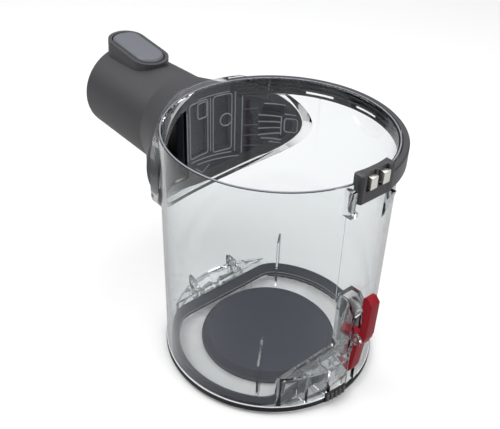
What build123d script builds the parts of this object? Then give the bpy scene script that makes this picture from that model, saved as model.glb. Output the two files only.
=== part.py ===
from build123d import *
from math import asin, cos, degrees, pi, radians, sin, sqrt
import os

# Clear dust bin of a cordless stick vacuum cleaner, in millimetres.
# The bin axis is Z, z = 0 is the underside of the closed base flap,
# the inlet tube points to -X and the catch and contact block lie on +X.

os.makedirs("parts", exist_ok=True)

# Clear bin
bin_radius = 58.5
bin_wall = 2.0
bin_height = 137.0
wall_foot = 4.5
seat_gap = 0.15
rim_chamfer = 0.6
mouth_seat = 0.8
mouth_seat_depth = 8.0

# Inlet tube and its saddle on the bin wall
inlet_drop = 31.0
bore_radius = 19.5
bore_depth = 43.0
bore_step = 0.6
tube_wall = 6.5
tube_draft = 1.2
mouth_stand = 86.5
tube_straight = 61.0
flare_inset = 30.5
flare_over = 11.5
flare_rise = 4.0
flare_lift = 5.0
flare_power = 1.25
flare_sections = 6
saddle_inset = 9.7
saddle_lift = 2.8
saddle_raise = 1.4
saddle_tilt = 4.8
saddle_wall = 3.6
saddle_rim = 3.2
mouth_chamfer = 1.0
border_width = 3.0
border_height = 5.0

# Air duct inside the saddle
window_angle = 197.0
window_edge = 5.0
guide_setback = 50.0
guide_gap = 0.25
pocket_depth = 5.0
panel_height = 33.0
wing_rib = 1.6
wing_pockets = 4
wing_pocket_height = 6.0
panel_angles = (186.5, 171.0)
panel_widths = (11.0, 9.0)
wing_angles = (140.5, 142.5, 142.5, 140.5)
wing_lengths = (17.0, 26.0, 26.0, 17.0)

# Release button in its boss on the tube
boss_length = 45.6
boss_width = 22.3
boss_wall = 2.2
boss_setback = 21.2
boss_rise = 5.8
boss_tilt = 6.7
boss_depth = 14.0
pocket_floor = 8.0
button_gap = 0.3
button_proud = 1.6
button_height = 5.5
button_crown = 1.2
button_travel = 2.5
stem_radius = 2.6
barb_length = 6.0
barb_height = 1.2
barb_depth = 0.8
button_coil_radius = 4.4
button_coil_wire = 0.6
button_coil_turns = 2.5
coil_sides = 6

# Wire cover and contact block on the rim
cover_depth = 3.2
cover_height = 10.0
cover_wall = 1.4
cover_lip_gap = 1.2
cover_start = 8.0
cover_end = 164.5
cover_end_gap = 0.5
channel_end = 12.0
cover_notches = ((80.0, 94.5), (108.0, 123.5))
cover_notch_height = 3.0
block_width = 21.0
block_inset = 2.7
block_gap = 0.7
block_depth = 3.9
block_drop = 8.0
block_rise = 6.3
block_floor = 0.7
block_round = 1.2
contact_width = 4.2
contact_pitch = 8.0
contact_drop = 1.6
contact_rise = 4.4
contact_sheet = 0.5
contact_proud = 1.0
contact_round = 0.45
contact_gap = 0.3
carrier_depth = 2.0
carrier_width = 15.6

# Conductors from the contacts to the tube mouth
lead_radius = 0.6
lead_gap = 0.3
lead_stand = 0.95
lead_drops = (6.4, 3.6)
lead_offsets = (19.5, 17.0)
lead_sides = 6
terminal_length = 8.0
terminal_width = 3.0
terminal_sheet = 0.8
terminal_inset = 1.0

# Base flap, seals and hinge
flap_floor = 2.0
flap_flange = 2.0
flap_inset = 1.0
dish_inset = 8.0
chord_inset = 12.5
chord_wall = 2.0
seal_gap = 0.3
seal_height = 6.0
seal_root = 2.0
seal_width = 4.4
seal_lip = 0.8
disc_inset = 13.0
disc_foot_width = 1.3
disc_foot_height = 1.3
disc_height = 3.6
disc_round = 0.8
trim_gap = 0.1
trim_width = 1.6
trim_low = 1.6
trim_high = 4.2
tab_angle = -5.0
tab_span = 13.0
tab_height = 8.6
tab_wall = 1.2
tab_ridges = 5
ridge_width = 0.9
ridge_height = 0.6
hinge_rise = 2.0
knuckle_radius = 3.2
knuckle_width = 9.0
knuckle_offset = 9.0
lug_width = 4.2
hinge_pin_radius = 1.5
pin_gap = 0.04
side_gap = 0.3
hinge_shelf_rise = 7.4
shelf_thickness = 2.0
gusset_height = 7.0
gusset_width = 1.8
gusset_offsets = (13.0, -18.0)
hinge_notch_gap = 1.2
flap_edge_gap = 0.6

# Catch and its pocket
latch_shelf = 25.0
catch_offset = 7.0
catch_width = 6.0
pivot_stand = 2.6
pivot_rise = 16.0
hub_radius = 2.8
catch_pin_radius = 1.0
catch_rise = 28.0
paddle_offset = 0.8
paddle_depth = 4.7
paddle_rise = 4.5
head_depth = 0.9
head_height = 6.5
head_slope = 2.0
head_round = 1.2
paddle_round = 2.6
paddle_taper = 0.4
arm_width = 2.4
arm_lean = 2.6
heel_lean = 1.2
hook_drop = 6.3
hook_height = 3.6
hook_engagement = 1.4
lip_gap = 0.3
lip_height = 3.0
lip_inset = 3.1
lip_width = 2.1
post_width = 2.0
post_gap = 0.5
well_wall = 1.6
well_rise = 38.0
well_depth = 6.0
well_drop = 8.0
ear_wall = 1.5
ear_radius = 3.3
toe_gap = 2.0
toe_drop = 2.1
toe_rise = 0.6
catch_coil_radius = 1.9
catch_coil_wire = 0.5
catch_coil_turns = 5
catch_coil_inset = 2.4
coil_steps = 10
rib_offsets = (-21.0, -9.0)
rib_wall = 1.4
finger_window_high = 12.0
finger_window_side = 1.5

# Fins and outer ribs of the clear bin
fin_angles = (132.0, -48.0)
fin_stand = 1.7
fin_wall = 1.2
fin_gap = 1.4
fin_low = 3.6
fin_inner_top = 38.0
fin_outer_top = 33.0
pad_half_width = 12.5
pad_stand = 1.0
pad_gap = 3.0
pad_top_gap = 0.6
wing_width = 2.2
wing_stand = 3.4
wing_drop = 14.0
wing_top_gap = 0.6
wing_lip = 2.0
brace_drop = 29.0

# Places that follow from the sizes above
bin_bore = bin_radius - bin_wall
mouth_radius = bin_bore + mouth_seat
inlet_height = bin_height - inlet_drop
throat_radius = bore_radius - bore_step
tube_radius = bore_radius + tube_wall
tube_root = tube_radius + tube_draft
mouth_reach = bin_radius + mouth_stand
flare_start = mouth_reach - tube_straight
flare_end = bin_radius - flare_inset
saddle_seat = bin_radius + seat_gap
border_radius = bin_radius + border_height
saddle_half_width = bin_radius - saddle_inset
saddle_half_height = tube_radius + saddle_lift
flare_half_width = saddle_half_width + flare_over
guide_start = mouth_reach - guide_setback
boss_centre = mouth_reach - boss_setback
cover_radius = bin_radius + cover_depth
cover_low = bin_height - cover_height
cover_lip = bin_radius + cover_lip_gap
block_inner = bin_radius - block_inset
block_outer = bin_radius + block_depth
block_low = bin_height - block_drop
block_high = bin_height + block_rise
contact_low = bin_height - contact_drop
contact_high = bin_height + contact_rise
lead_run_radius = bin_radius + lead_stand
lead_levels = [bin_height - drop for drop in lead_drops]
lead_ring = (bore_radius + tube_radius) / 2
flange_top = flap_floor + flap_flange
flap_radius = bin_radius - flap_inset
dish_radius = bin_radius - dish_inset
chord = bin_bore - chord_inset
disc_radius = dish_radius - disc_inset
disc_foot = disc_radius + disc_foot_width
hinge_reach = chord + chord_wall + knuckle_radius + side_gap
hinge_height = flange_top + hinge_rise
hinge_shelf = hinge_height + hinge_shelf_rise
hinge_notch = hinge_height + knuckle_radius + hinge_notch_gap
slot_width = catch_width + 2 * side_gap
pivot_reach = bin_radius + pivot_stand
pivot_height = latch_shelf + pivot_rise
catch_top = pivot_height + catch_rise
paddle_inner = pivot_reach + paddle_offset
paddle_outer = paddle_inner + paddle_depth
paddle_foot = pivot_height + paddle_rise
head_inner = paddle_inner - head_depth
head_low = catch_top - head_height
lip_reach = bin_bore - lip_inset
hook_top = latch_shelf - hook_drop
hook_tip = lip_reach - hook_engagement
post_outer = lip_reach - lip_width
post_inner = post_outer - post_width
well_back = chord + chord_wall
well_top = latch_shelf + well_rise
well_shoulder = well_back + well_depth
toe_tip = well_back + well_wall + toe_gap
toe_low = pivot_height - toe_drop
toe_high = pivot_height + toe_rise
ledge_edge = bin_bore
catch_coil_reach = toe_tip + catch_coil_inset
fin_inner = disc_foot + fin_stand
pad_reach = bin_radius + pad_stand
pad_low = catch_top + pad_gap
pad_high = cover_low - pad_top_gap
wing_reach = bin_radius + wing_stand
wing_low = bin_height - wing_drop
wing_high = bin_height - wing_top_gap
brace_low = bin_height - brace_drop


def polar(radius, angle):
    """Point in plan at a radius and an angle from +X."""
    return (radius * cos(radians(angle)), radius * sin(radians(angle)))


def radial_plane(angle):
    """Plane through the bin axis whose local x runs outwards at the angle and local y runs up."""
    across = (sin(radians(angle)), -cos(radians(angle)), 0)
    return Plane(origin=(0, 0, 0), x_dir=(cos(radians(angle)), sin(radians(angle)), 0), z_dir=across)


def coil_points(radius, height, turns):
    """Points of a coil that climbs from local z = 0 to the height."""
    count = round(turns * coil_steps)
    points = []
    for i in range(count + 1):
        turn = 2 * pi * i / coil_steps
        points.append((radius * cos(turn), radius * sin(turn), height * i / count))
    return points


def inlet_plane(reach):
    """Cross-section plane of the inlet at a distance from the bin axis, facing the mouth."""
    return Plane(origin=(-reach, 0, inlet_height), x_dir=(0, 1, 0), z_dir=(-1, 0, 0))


def flare_share(reach):
    """Share of the flare that is reached at a distance from the bin axis, 0 at its start."""
    return (flare_start - reach) / (flare_start - flare_end)


def flare_plane(reach):
    """Cross-section plane of the flare, which rises towards the bin."""
    rise = flare_lift * flare_share(reach)
    return Plane(origin=(-reach, 0, inlet_height + rise), x_dir=(0, 1, 0), z_dir=(-1, 0, 0))


def flare_half(reach):
    """Half width of the outer flare."""
    return tube_root + (flare_half_width - tube_root) * flare_share(reach) ** flare_power


def flare_crown(reach):
    """Half height of the outer flare."""
    return tube_root + flare_rise * flare_share(reach)


def flare_wall(reach):
    """Wall of the flare, from the tube's wall to the saddle's."""
    root_wall = tube_root - throat_radius
    return root_wall + (saddle_wall - root_wall) * flare_share(reach)


def eye_outline(grow):
    """Eye outline of the saddle, tilted in the mouth plane and grown by a distance."""
    with Locations((0, -saddle_raise)):
        Ellipse(saddle_half_width + grow, saddle_half_height + grow, rotation=-saddle_tilt)


flare_step = (flare_start - flare_end) / (flare_sections - 1)
flare_reaches = [flare_start - flare_step * i for i in range(flare_sections)]


# Inner space of the saddle, from the bore to the bin wall
with BuildPart() as saddle_space:
    for reach in flare_reaches:
        with BuildSketch(flare_plane(reach)):
            wall = flare_wall(reach)
            Ellipse(flare_half(reach) - wall, flare_crown(reach) - wall)
    loft(ruled=True)
    with BuildSketch(inlet_plane(mouth_reach)):
        eye_outline(-saddle_rim)
    extrude(amount=-mouth_reach, mode=Mode.INTERSECT)

# Side of the saddle that the duct guide fills
guide_corner = polar(bin_radius + window_edge, window_angle)
guide_root = polar(bin_bore - window_edge, window_angle)
with BuildPart() as guide_side:
    with BuildSketch(Plane.XY.offset(inlet_height)):
        with BuildLine():
            Polyline(
                guide_root,
                guide_corner,
                (-guide_start, bore_radius),
                (-guide_start, cover_radius),
                (-flare_end / 2, cover_radius),
                close=True,
            )
        make_face()
    extrude(amount=2 * tube_radius, both=True)

# Air window through the bin wall
with BuildPart() as air_window:
    add(saddle_space.part)
    add(guide_side.part, mode=Mode.SUBTRACT)

# Ring of space that the wire cover takes up outside the bin wall
with BuildPart() as cover_space:
    with BuildSketch(radial_plane(cover_start)):
        with BuildLine():
            Polyline(
                (bin_radius + seat_gap / 2, cover_low - side_gap),
                (cover_radius + side_gap, cover_low - side_gap),
                (cover_radius + side_gap, bin_height + cover_height),
                (bin_radius + seat_gap / 2, bin_height + cover_height),
                close=True,
            )
        make_face()
    revolve(axis=Axis.Z, revolution_arc=cover_end - cover_start + cover_end_gap)

# Vertical and lengthwise channels of the two conductors
lead_angles = [180 - degrees(asin(y / lead_run_radius)) for y in lead_offsets]
lead_depths = [inlet_height + sqrt(lead_ring**2 - y**2) for y in lead_offsets]
lead_corners = [-lead_run_radius * cos(radians(180 - angle)) for angle in lead_angles]
terminal_root = -mouth_reach + terminal_inset + terminal_length
channel = lead_radius + lead_gap
with BuildPart() as lead_space:
    for corner, y, depth, level in zip(lead_corners, lead_offsets, lead_depths, lead_levels):
        with BuildSketch(Plane.XY.offset(depth - channel)):
            with Locations((corner, y)):
                RegularPolygon(channel, lead_sides)
        extrude(amount=level - depth + 2 * channel)
        with BuildSketch(Plane(origin=(corner, y, depth), z_dir=(-1, 0, 0))):
            RegularPolygon(channel, lead_sides)
        extrude(amount=corner - terminal_root)

# Button boss plane, tilted down towards the bin
boss_top = inlet_height + tube_radius + boss_rise
boss_plane = Plane(
    origin=(-boss_centre, 0, boss_top),
    x_dir=(cos(radians(boss_tilt)), 0, -sin(radians(boss_tilt))),
    z_dir=(sin(radians(boss_tilt)), 0, cos(radians(boss_tilt))),
)
pocket_length = boss_length - 2 * boss_wall
pocket_width = boss_width - 2 * boss_wall
barb_low = button_proud - button_height
groove_low = barb_low - button_travel - button_gap
groove_high = barb_low + barb_height + pin_gap

with BuildPart() as inlet_tube:
    for reach in flare_reaches:
        with BuildSketch(flare_plane(reach)):
            Ellipse(flare_half(reach), flare_crown(reach))
    loft(ruled=True)
    with BuildSketch(inlet_plane(mouth_reach)):
        eye_outline(0)
    extrude(amount=-mouth_reach, mode=Mode.INTERSECT)
    with BuildSketch(Plane(origin=(0, 0, inlet_height), x_dir=(1, 0, 0), z_dir=(0, -1, 0))):
        with BuildLine():
            Polyline(
                (-flare_start, 0),
                (-flare_start, tube_root),
                (mouth_chamfer - mouth_reach, tube_radius),
                (-mouth_reach, tube_radius - mouth_chamfer),
                (-mouth_reach, 0),
                close=True,
            )
        make_face()
    revolve(axis=Axis((0, 0, inlet_height), (1, 0, 0)))
    with BuildSketch(boss_plane):
        SlotOverall(boss_length, boss_width)
    extrude(amount=-boss_depth)
    add(saddle_space.part, mode=Mode.SUBTRACT)
    with BuildSketch(inlet_plane(mouth_reach)):
        Circle(bore_radius)
    extrude(amount=-bore_depth, mode=Mode.SUBTRACT)
    with BuildSketch(inlet_plane(mouth_reach)):
        Circle(throat_radius)
    extrude(amount=flare_start - mouth_reach, mode=Mode.SUBTRACT)
    with BuildSketch(boss_plane):
        SlotOverall(pocket_length, pocket_width)
    extrude(amount=-pocket_floor, mode=Mode.SUBTRACT)
    with BuildSketch(boss_plane.offset(groove_low)):
        Rectangle(barb_length + 2 * button_gap, pocket_width + 2 * barb_depth + 2 * button_gap)
    extrude(amount=groove_high - groove_low, mode=Mode.SUBTRACT)
    with BuildSketch(boss_plane):
        Circle(stem_radius + button_gap)
    extrude(amount=-boss_depth, mode=Mode.SUBTRACT)
    with BuildSketch(Plane.XY):
        Circle(saddle_seat)
    extrude(amount=2 * bin_height, mode=Mode.SUBTRACT)
    add(cover_space.part, mode=Mode.SUBTRACT)
    add(lead_space.part, mode=Mode.SUBTRACT)
    for y, drop in zip(lead_offsets, lead_depths):
        with BuildSketch(Plane(origin=(-mouth_reach, y, drop), x_dir=(0, 1, 0), z_dir=(1, 0, 0))):
            Rectangle(terminal_sheet + 2 * seat_gap, terminal_width + 2 * seat_gap)
        extrude(amount=terminal_inset + terminal_length, mode=Mode.SUBTRACT)
inlet_tube.part.label = "inlet_tube"
export_step(inlet_tube.part, "parts/inlet_tube.step")

# Ribbed insert that turns the air towards the window
pocket_middle = bin_radius + pocket_depth / 2
with BuildPart() as duct_guide:
    for reach in flare_reaches:
        with BuildSketch(flare_plane(reach)):
            wall = flare_wall(reach) + guide_gap
            Ellipse(flare_half(reach) - wall, flare_crown(reach) - wall)
    loft(ruled=True)
    with BuildSketch(inlet_plane(flare_start)):
        Circle(throat_radius - guide_gap)
    extrude(amount=guide_start - flare_start)
    with BuildSketch(inlet_plane(mouth_reach)):
        eye_outline(-saddle_rim - guide_gap)
    extrude(amount=-mouth_reach, mode=Mode.INTERSECT)
    add(guide_side.part, mode=Mode.INTERSECT)
    with BuildSketch(Plane.XY):
        Circle(saddle_seat + seat_gap)
    extrude(amount=2 * bin_height, mode=Mode.SUBTRACT)
    for angle, width in zip(panel_angles, panel_widths):
        with BuildSketch(radial_plane(angle)):
            with Locations((pocket_middle, inlet_height)):
                Rectangle(pocket_depth, panel_height)
        extrude(amount=width / 2, both=True, mode=Mode.SUBTRACT)
    for i in range(wing_pockets):
        level = (i - (wing_pockets - 1) / 2) * (wing_pocket_height + wing_rib)
        with BuildSketch(radial_plane(wing_angles[i])):
            with Locations((pocket_middle, inlet_height + level)):
                Rectangle(pocket_depth, wing_pocket_height)
        extrude(amount=wing_lengths[i] / 2, both=True, mode=Mode.SUBTRACT)
    add(cover_space.part, mode=Mode.SUBTRACT)
    add(lead_space.part, mode=Mode.SUBTRACT)
duct_guide.part.label = "duct_guide"
export_step(duct_guide.part, "parts/duct_guide.step")

# Light grey oval button with its stem and two retaining barbs
with BuildPart() as release_button:
    with BuildSketch(boss_plane.offset(button_proud)):
        SlotOverall(pocket_length - 2 * button_gap, pocket_width - 2 * button_gap)
    extrude(amount=-button_height)
    crown_edges = release_button.faces().sort_by(Axis(boss_plane.origin, boss_plane.z_dir))[-1].edges()
    chamfer(crown_edges, button_crown)
    with BuildSketch(boss_plane.offset(barb_low)):
        Rectangle(barb_length, pocket_width + 2 * barb_depth)
    extrude(amount=barb_height)
    stem_length = boss_rise + tube_radius - bore_radius + barb_low - button_gap
    with BuildSketch(boss_plane.offset(barb_low)):
        Circle(stem_radius)
    extrude(amount=-stem_length)
release_button.part.label = "release_button"
export_step(release_button.part, "parts/release_button.step")

# Return coil under the button, round its stem
button_coil_room = pocket_floor + barb_low - button_coil_wire
with BuildPart() as button_spring:
    with BuildLine(boss_plane.offset(-pocket_floor + button_coil_wire / 2)) as button_coil:
        Polyline(*coil_points(button_coil_radius, button_coil_room, button_coil_turns))
    with BuildSketch(Plane(origin=button_coil.line @ 0, z_dir=button_coil.line % 0)):
        RegularPolygon(button_coil_wire / 2, coil_sides)
    sweep(transition=Transition.RIGHT)
button_spring.part.label = "button_spring"
export_step(button_spring.part, "parts/button_spring.step")

# Dark half ring over the conductors, with the contact block
with BuildPart() as wire_cover:
    with BuildSketch(radial_plane(cover_start)):
        with BuildLine():
            Polyline(
                (saddle_seat, bin_height),
                (cover_radius - cover_wall / 2, bin_height),
                (cover_radius, bin_height - cover_wall / 2),
                (cover_radius, cover_low + cover_wall / 2),
                (cover_radius - cover_wall / 2, cover_low),
                (cover_lip, cover_low),
                (cover_lip, cover_low + cover_wall),
                (cover_radius - cover_wall, cover_low + cover_wall),
                (cover_radius - cover_wall, bin_height - cover_wall),
                (saddle_seat, bin_height - cover_wall),
                close=True,
            )
        make_face()
    revolve(axis=Axis.Z, revolution_arc=cover_end - cover_start)
    with BuildSketch(Plane.XY.offset(block_low)):
        with Locations(((block_inner + block_outer) / 2, 0)):
            RectangleRounded(block_outer - block_inner, block_width, block_round)
    extrude(amount=block_high - block_low)
    top_edges = wire_cover.faces().sort_by(Axis.Z)[-1].edges()
    chamfer(top_edges, rim_chamfer)
    with BuildSketch(Plane.XY):
        Circle(saddle_seat)
    extrude(amount=bin_height + seat_gap, mode=Mode.SUBTRACT)
    with BuildSketch(Plane.XY):
        Circle(mouth_radius + block_gap)
    extrude(amount=2 * bin_height, mode=Mode.SUBTRACT)
    carrier_inner = bin_radius + 2 * seat_gap
    carrier_outer = carrier_inner + carrier_depth
    with BuildSketch(Plane.XY.offset(block_low + block_floor)):
        with Locations(((carrier_inner + carrier_outer) / 2, 0)):
            Rectangle(carrier_depth + 2 * seat_gap, carrier_width + 2 * seat_gap)
    extrude(amount=contact_high + contact_gap - block_low - block_floor, mode=Mode.SUBTRACT)
    for side in (-1, 1):
        with BuildSketch(Plane.YZ.offset(carrier_outer)):
            with Locations((side * contact_pitch / 2, (contact_low + contact_high) / 2)):
                Rectangle(
                    contact_width + 2 * contact_gap,
                    contact_high - contact_low + 2 * contact_gap,
                )
        extrude(amount=block_outer, mode=Mode.SUBTRACT)
    with BuildSketch(radial_plane(0)):
        with Locations((lead_run_radius, (lead_levels[0] + lead_levels[1]) / 2)):
            Rectangle(
                2 * (lead_radius + lead_gap),
                lead_levels[1] - lead_levels[0] + 2 * (lead_radius + lead_gap),
            )
    revolve(axis=Axis.Z, revolution_arc=channel_end, mode=Mode.SUBTRACT)
    add(lead_space.part, mode=Mode.SUBTRACT)
    for first, last in cover_notches:
        with BuildSketch(radial_plane(first)):
            with Locations((cover_radius, cover_low)):
                Rectangle(2 * cover_wall + side_gap, 2 * cover_notch_height)
        revolve(axis=Axis.Z, revolution_arc=last - first, mode=Mode.SUBTRACT)
wire_cover.part.label = "wire_cover"
export_step(wire_cover.part, "parts/wire_cover.step")

# Folded spring contacts: outer pad, top fold and inner leg
contact_names = ("contact_left", "contact_right")
leg_face = carrier_inner + carrier_depth / 2
for side, name, level in zip((-1, 1), contact_names, lead_levels):
    pad_face = block_outer + contact_proud
    with BuildPart() as contact:
        with BuildSketch(Plane.XZ.offset(-side * contact_pitch / 2)):
            with BuildLine():
                Polyline(
                    (pad_face, contact_low),
                    (pad_face, contact_high),
                    (leg_face, contact_high),
                    (leg_face, level - lead_radius),
                    (leg_face + contact_sheet, level - lead_radius),
                    (leg_face + contact_sheet, contact_high - contact_sheet),
                    (pad_face - contact_sheet, contact_high - contact_sheet),
                    (pad_face - contact_sheet, contact_low),
                    close=True,
                )
            make_face()
        extrude(amount=contact_width / 2, both=True)
        fold_edges = contact.edges().filter_by(Axis.Y).group_by(Axis.Z)[-1]
        fillet(fold_edges, contact_round)
    contact.part.label = name
    export_step(contact.part, f"parts/{name}.step")

# Insulator behind the contact pads
with BuildPart() as contact_carrier:
    with BuildSketch(Plane.XY.offset(contact_low)):
        with Locations(((carrier_inner + carrier_outer) / 2, 0)):
            Rectangle(carrier_depth, carrier_width)
    extrude(amount=contact_high - contact_low - contact_sheet - contact_gap)
    for side in (-1, 1):
        with Locations((leg_face + contact_sheet / 2, side * contact_pitch / 2, contact_low)):
            Box(
                contact_sheet + 2 * seat_gap,
                contact_width + 2 * seat_gap,
                2 * (contact_high - contact_low),
                mode=Mode.SUBTRACT,
            )
contact_carrier.part.label = "contact_carrier"
export_step(contact_carrier.part, "parts/contact_carrier.step")

# Conductors round the rim, down the channel and along the tube
lead_names = ("lead_left", "lead_right")
for i, name in enumerate(lead_names):
    lead_first_y = (-1, 1)[i] * contact_pitch / 2 + contact_width / 2 + seat_gap
    lead_first = degrees(asin(lead_first_y / lead_run_radius))
    with BuildPart() as lead:
        with BuildSketch(radial_plane(lead_first)):
            with Locations((lead_run_radius, lead_levels[i])):
                RegularPolygon(lead_radius, lead_sides)
        revolve(axis=Axis.Z, revolution_arc=lead_angles[i] - lead_first)
        with BuildSketch(Plane.XY.offset(lead_depths[i] - lead_radius)):
            with Locations((lead_corners[i], lead_offsets[i])):
                RegularPolygon(lead_radius, lead_sides)
        extrude(amount=lead_levels[i] - lead_depths[i] + 2 * lead_radius)
        lead_turn = (lead_corners[i], lead_offsets[i], lead_depths[i])
        with BuildSketch(Plane(origin=lead_turn, z_dir=(-1, 0, 0))):
            RegularPolygon(lead_radius, lead_sides)
        extrude(amount=lead_corners[i] - terminal_root - seat_gap)
    lead.part.label = name
    export_step(lead.part, f"parts/{name}.step")

# Blades at the tube mouth
terminal_names = ("terminal_left", "terminal_right")
for name, y, drop in zip(terminal_names, lead_offsets, lead_depths):
    with BuildPart() as terminal:
        with BuildSketch(Plane(origin=(terminal_root, y, drop), x_dir=(0, 1, 0), z_dir=(-1, 0, 0))):
            Rectangle(terminal_sheet, terminal_width)
        extrude(amount=terminal_length)
        tip_edges = terminal.faces().sort_by(Axis.X)[0].edges()
        chamfer(tip_edges, terminal_sheet / 4)
    terminal.part.label = name
    export_step(terminal.part, f"parts/{name}.step")

# Clear plate of the flap with its hinge knuckles and latch post
knuckle_side = knuckle_offset + knuckle_width / 2
hinge_edge = chord + chord_wall + flap_edge_gap
post_side = slot_width - 2 * post_gap
lip_low = hook_top + lip_gap
with BuildPart() as base_flap:
    with BuildSketch(Plane.XZ):
        with BuildLine():
            Polyline(
                (0, 0),
                (dish_radius, 0),
                (dish_radius + flap_floor, flap_floor),
                (flap_radius, flap_floor),
                (flap_radius, flange_top),
                (0, flange_top),
                close=True,
            )
        make_face()
    revolve(axis=Axis.Z)
    recess_radius = bin_bore - seal_gap - seal_width
    recess_chord = chord - seal_gap - seal_width
    with BuildSketch(Plane.XY.offset(flap_floor)):
        Circle(recess_radius)
        Rectangle(2 * recess_chord, 2 * bin_radius, mode=Mode.INTERSECT)
    extrude(amount=flap_flange, mode=Mode.SUBTRACT)
    with BuildSketch(Plane.XY):
        with Locations((-hinge_edge - bin_radius / 2, 0)):
            Rectangle(bin_radius, 2 * bin_radius)
    extrude(amount=flange_top, mode=Mode.SUBTRACT)
    for side in (-1, 1):
        with BuildSketch(Plane.XZ.offset(-side * knuckle_offset)):
            with Locations((-hinge_reach, hinge_height)):
                Circle(knuckle_radius)
            with Locations(((-hinge_reach - chord) / 2, (flap_floor + flange_top) / 2)):
                Rectangle(hinge_reach - chord, flap_flange)
            with Locations((-hinge_reach, hinge_height)):
                Circle(hinge_pin_radius + pin_gap, mode=Mode.SUBTRACT)
        extrude(amount=knuckle_width / 2, both=True)
    with BuildSketch(Plane.XZ.offset(-catch_offset)):
        with BuildLine():
            Polyline(
                (post_inner, flap_floor),
                (post_inner, lip_low + lip_height),
                (post_outer, lip_low + lip_height),
                (lip_reach, lip_low + lip_height / 3),
                (lip_reach, lip_low),
                (post_outer, lip_low),
                (post_outer, flap_floor),
                close=True,
            )
        make_face()
    extrude(amount=post_side / 2, both=True)
base_flap.part.label = "base_flap"
export_step(base_flap.part, "parts/base_flap.step")

# Black edge of the flap with a ridged finger tab
trim_inner = flap_radius + trim_gap
trim_outer = trim_inner + trim_width
tab_inner = bin_radius + side_gap
tab_outer = tab_inner + tab_wall
with BuildPart() as flap_trim:
    with BuildSketch(Plane.XZ):
        with BuildLine():
            Polyline(
                (trim_inner, trim_low),
                (trim_outer - trim_width / 3, trim_low),
                (trim_outer, trim_low + trim_width / 3),
                (trim_outer, trim_high - trim_width / 4),
                (trim_outer - trim_width / 4, trim_high),
                (trim_inner, trim_high),
                close=True,
            )
        make_face()
    revolve(axis=Axis.Z)
    with BuildSketch(Plane.XY):
        with Locations((-hinge_edge - bin_radius / 2, 0)):
            Rectangle(bin_radius, 3 * bin_radius)
    extrude(amount=tab_height, mode=Mode.SUBTRACT)
    with BuildSketch(radial_plane(tab_angle - tab_span / 2)):
        with BuildLine():
            Polyline(
                (trim_inner, trim_low),
                (trim_outer, trim_low),
                (tab_outer, trim_low + tab_wall),
                (tab_outer, tab_height - tab_wall / 2),
                (tab_outer - tab_wall / 2, tab_height),
                (tab_inner, tab_height),
                (tab_inner, trim_high),
                (trim_inner, trim_high),
                close=True,
            )
        make_face()
    revolve(axis=Axis.Z, revolution_arc=tab_span)
    tab_middle = (trim_high + tab_height) / 2
    for i in range(tab_ridges):
        angle = tab_angle + tab_span * ((i + 0.5) / tab_ridges - 0.5)
        with BuildSketch(radial_plane(angle)):
            with Locations((tab_outer, tab_middle - ridge_height)):
                Rectangle(2 * ridge_height, tab_height - trim_high - ridge_height)
        extrude(amount=ridge_width / 2, both=True)
flap_trim.part.label = "flap_trim"
export_step(flap_trim.part, "parts/flap_trim.step")

# Rubber ring of the flap, round with two flats, its inner face sloping out to a thin lip
seal_radius = bin_bore - seal_gap
seal_chord = chord - seal_gap
seal_top = flange_top + seal_height
seal_step = flange_top + seal_root
with BuildPart() as base_seal:
    with BuildSketch(Plane.XY.offset(flange_top)):
        Circle(seal_radius)
        Rectangle(2 * seal_chord, 2 * bin_radius, mode=Mode.INTERSECT)
    extrude(amount=seal_height)
    with BuildSketch(Plane.XY.offset(flange_top)):
        Circle(seal_radius - seal_width)
        Rectangle(2 * (seal_chord - seal_width), 2 * bin_radius, mode=Mode.INTERSECT)
    extrude(amount=seal_root, mode=Mode.SUBTRACT)
    with BuildSketch(Plane.XY.offset(seal_step)):
        Circle(seal_radius - seal_width)
        Rectangle(2 * (seal_chord - seal_width), 2 * bin_radius, mode=Mode.INTERSECT)
    with BuildSketch(Plane.XY.offset(seal_top)):
        Circle(seal_radius - seal_lip)
        Rectangle(2 * (seal_chord - seal_lip), 2 * bin_radius, mode=Mode.INTERSECT)
    loft(mode=Mode.SUBTRACT)
base_seal.part.label = "base_seal"
export_step(base_seal.part, "parts/base_seal.step")

# Rubber disc in the middle of the flap
with BuildPart() as centre_seal:
    with BuildSketch(Plane.XY.offset(flap_floor)):
        Circle(disc_foot)
    extrude(amount=disc_foot_height)
    with BuildSketch(Plane.XY.offset(flap_floor)):
        Circle(disc_radius)
    extrude(amount=disc_height)
    disc_edge = centre_seal.faces().sort_by(Axis.Z)[-1].edges()
    chamfer(disc_edge, disc_round)
centre_seal.part.label = "centre_seal"
export_step(centre_seal.part, "parts/centre_seal.step")

# Steel pin of the flap hinge
hinge_span = knuckle_side + side_gap + lug_width
with BuildPart() as hinge_pin:
    with BuildSketch(Plane.XZ.offset(hinge_span)):
        with Locations((-hinge_reach, hinge_height)):
            Circle(hinge_pin_radius)
    extrude(amount=-2 * hinge_span)
hinge_pin.part.label = "hinge_pin"
export_step(hinge_pin.part, "parts/hinge_pin.step")

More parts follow.
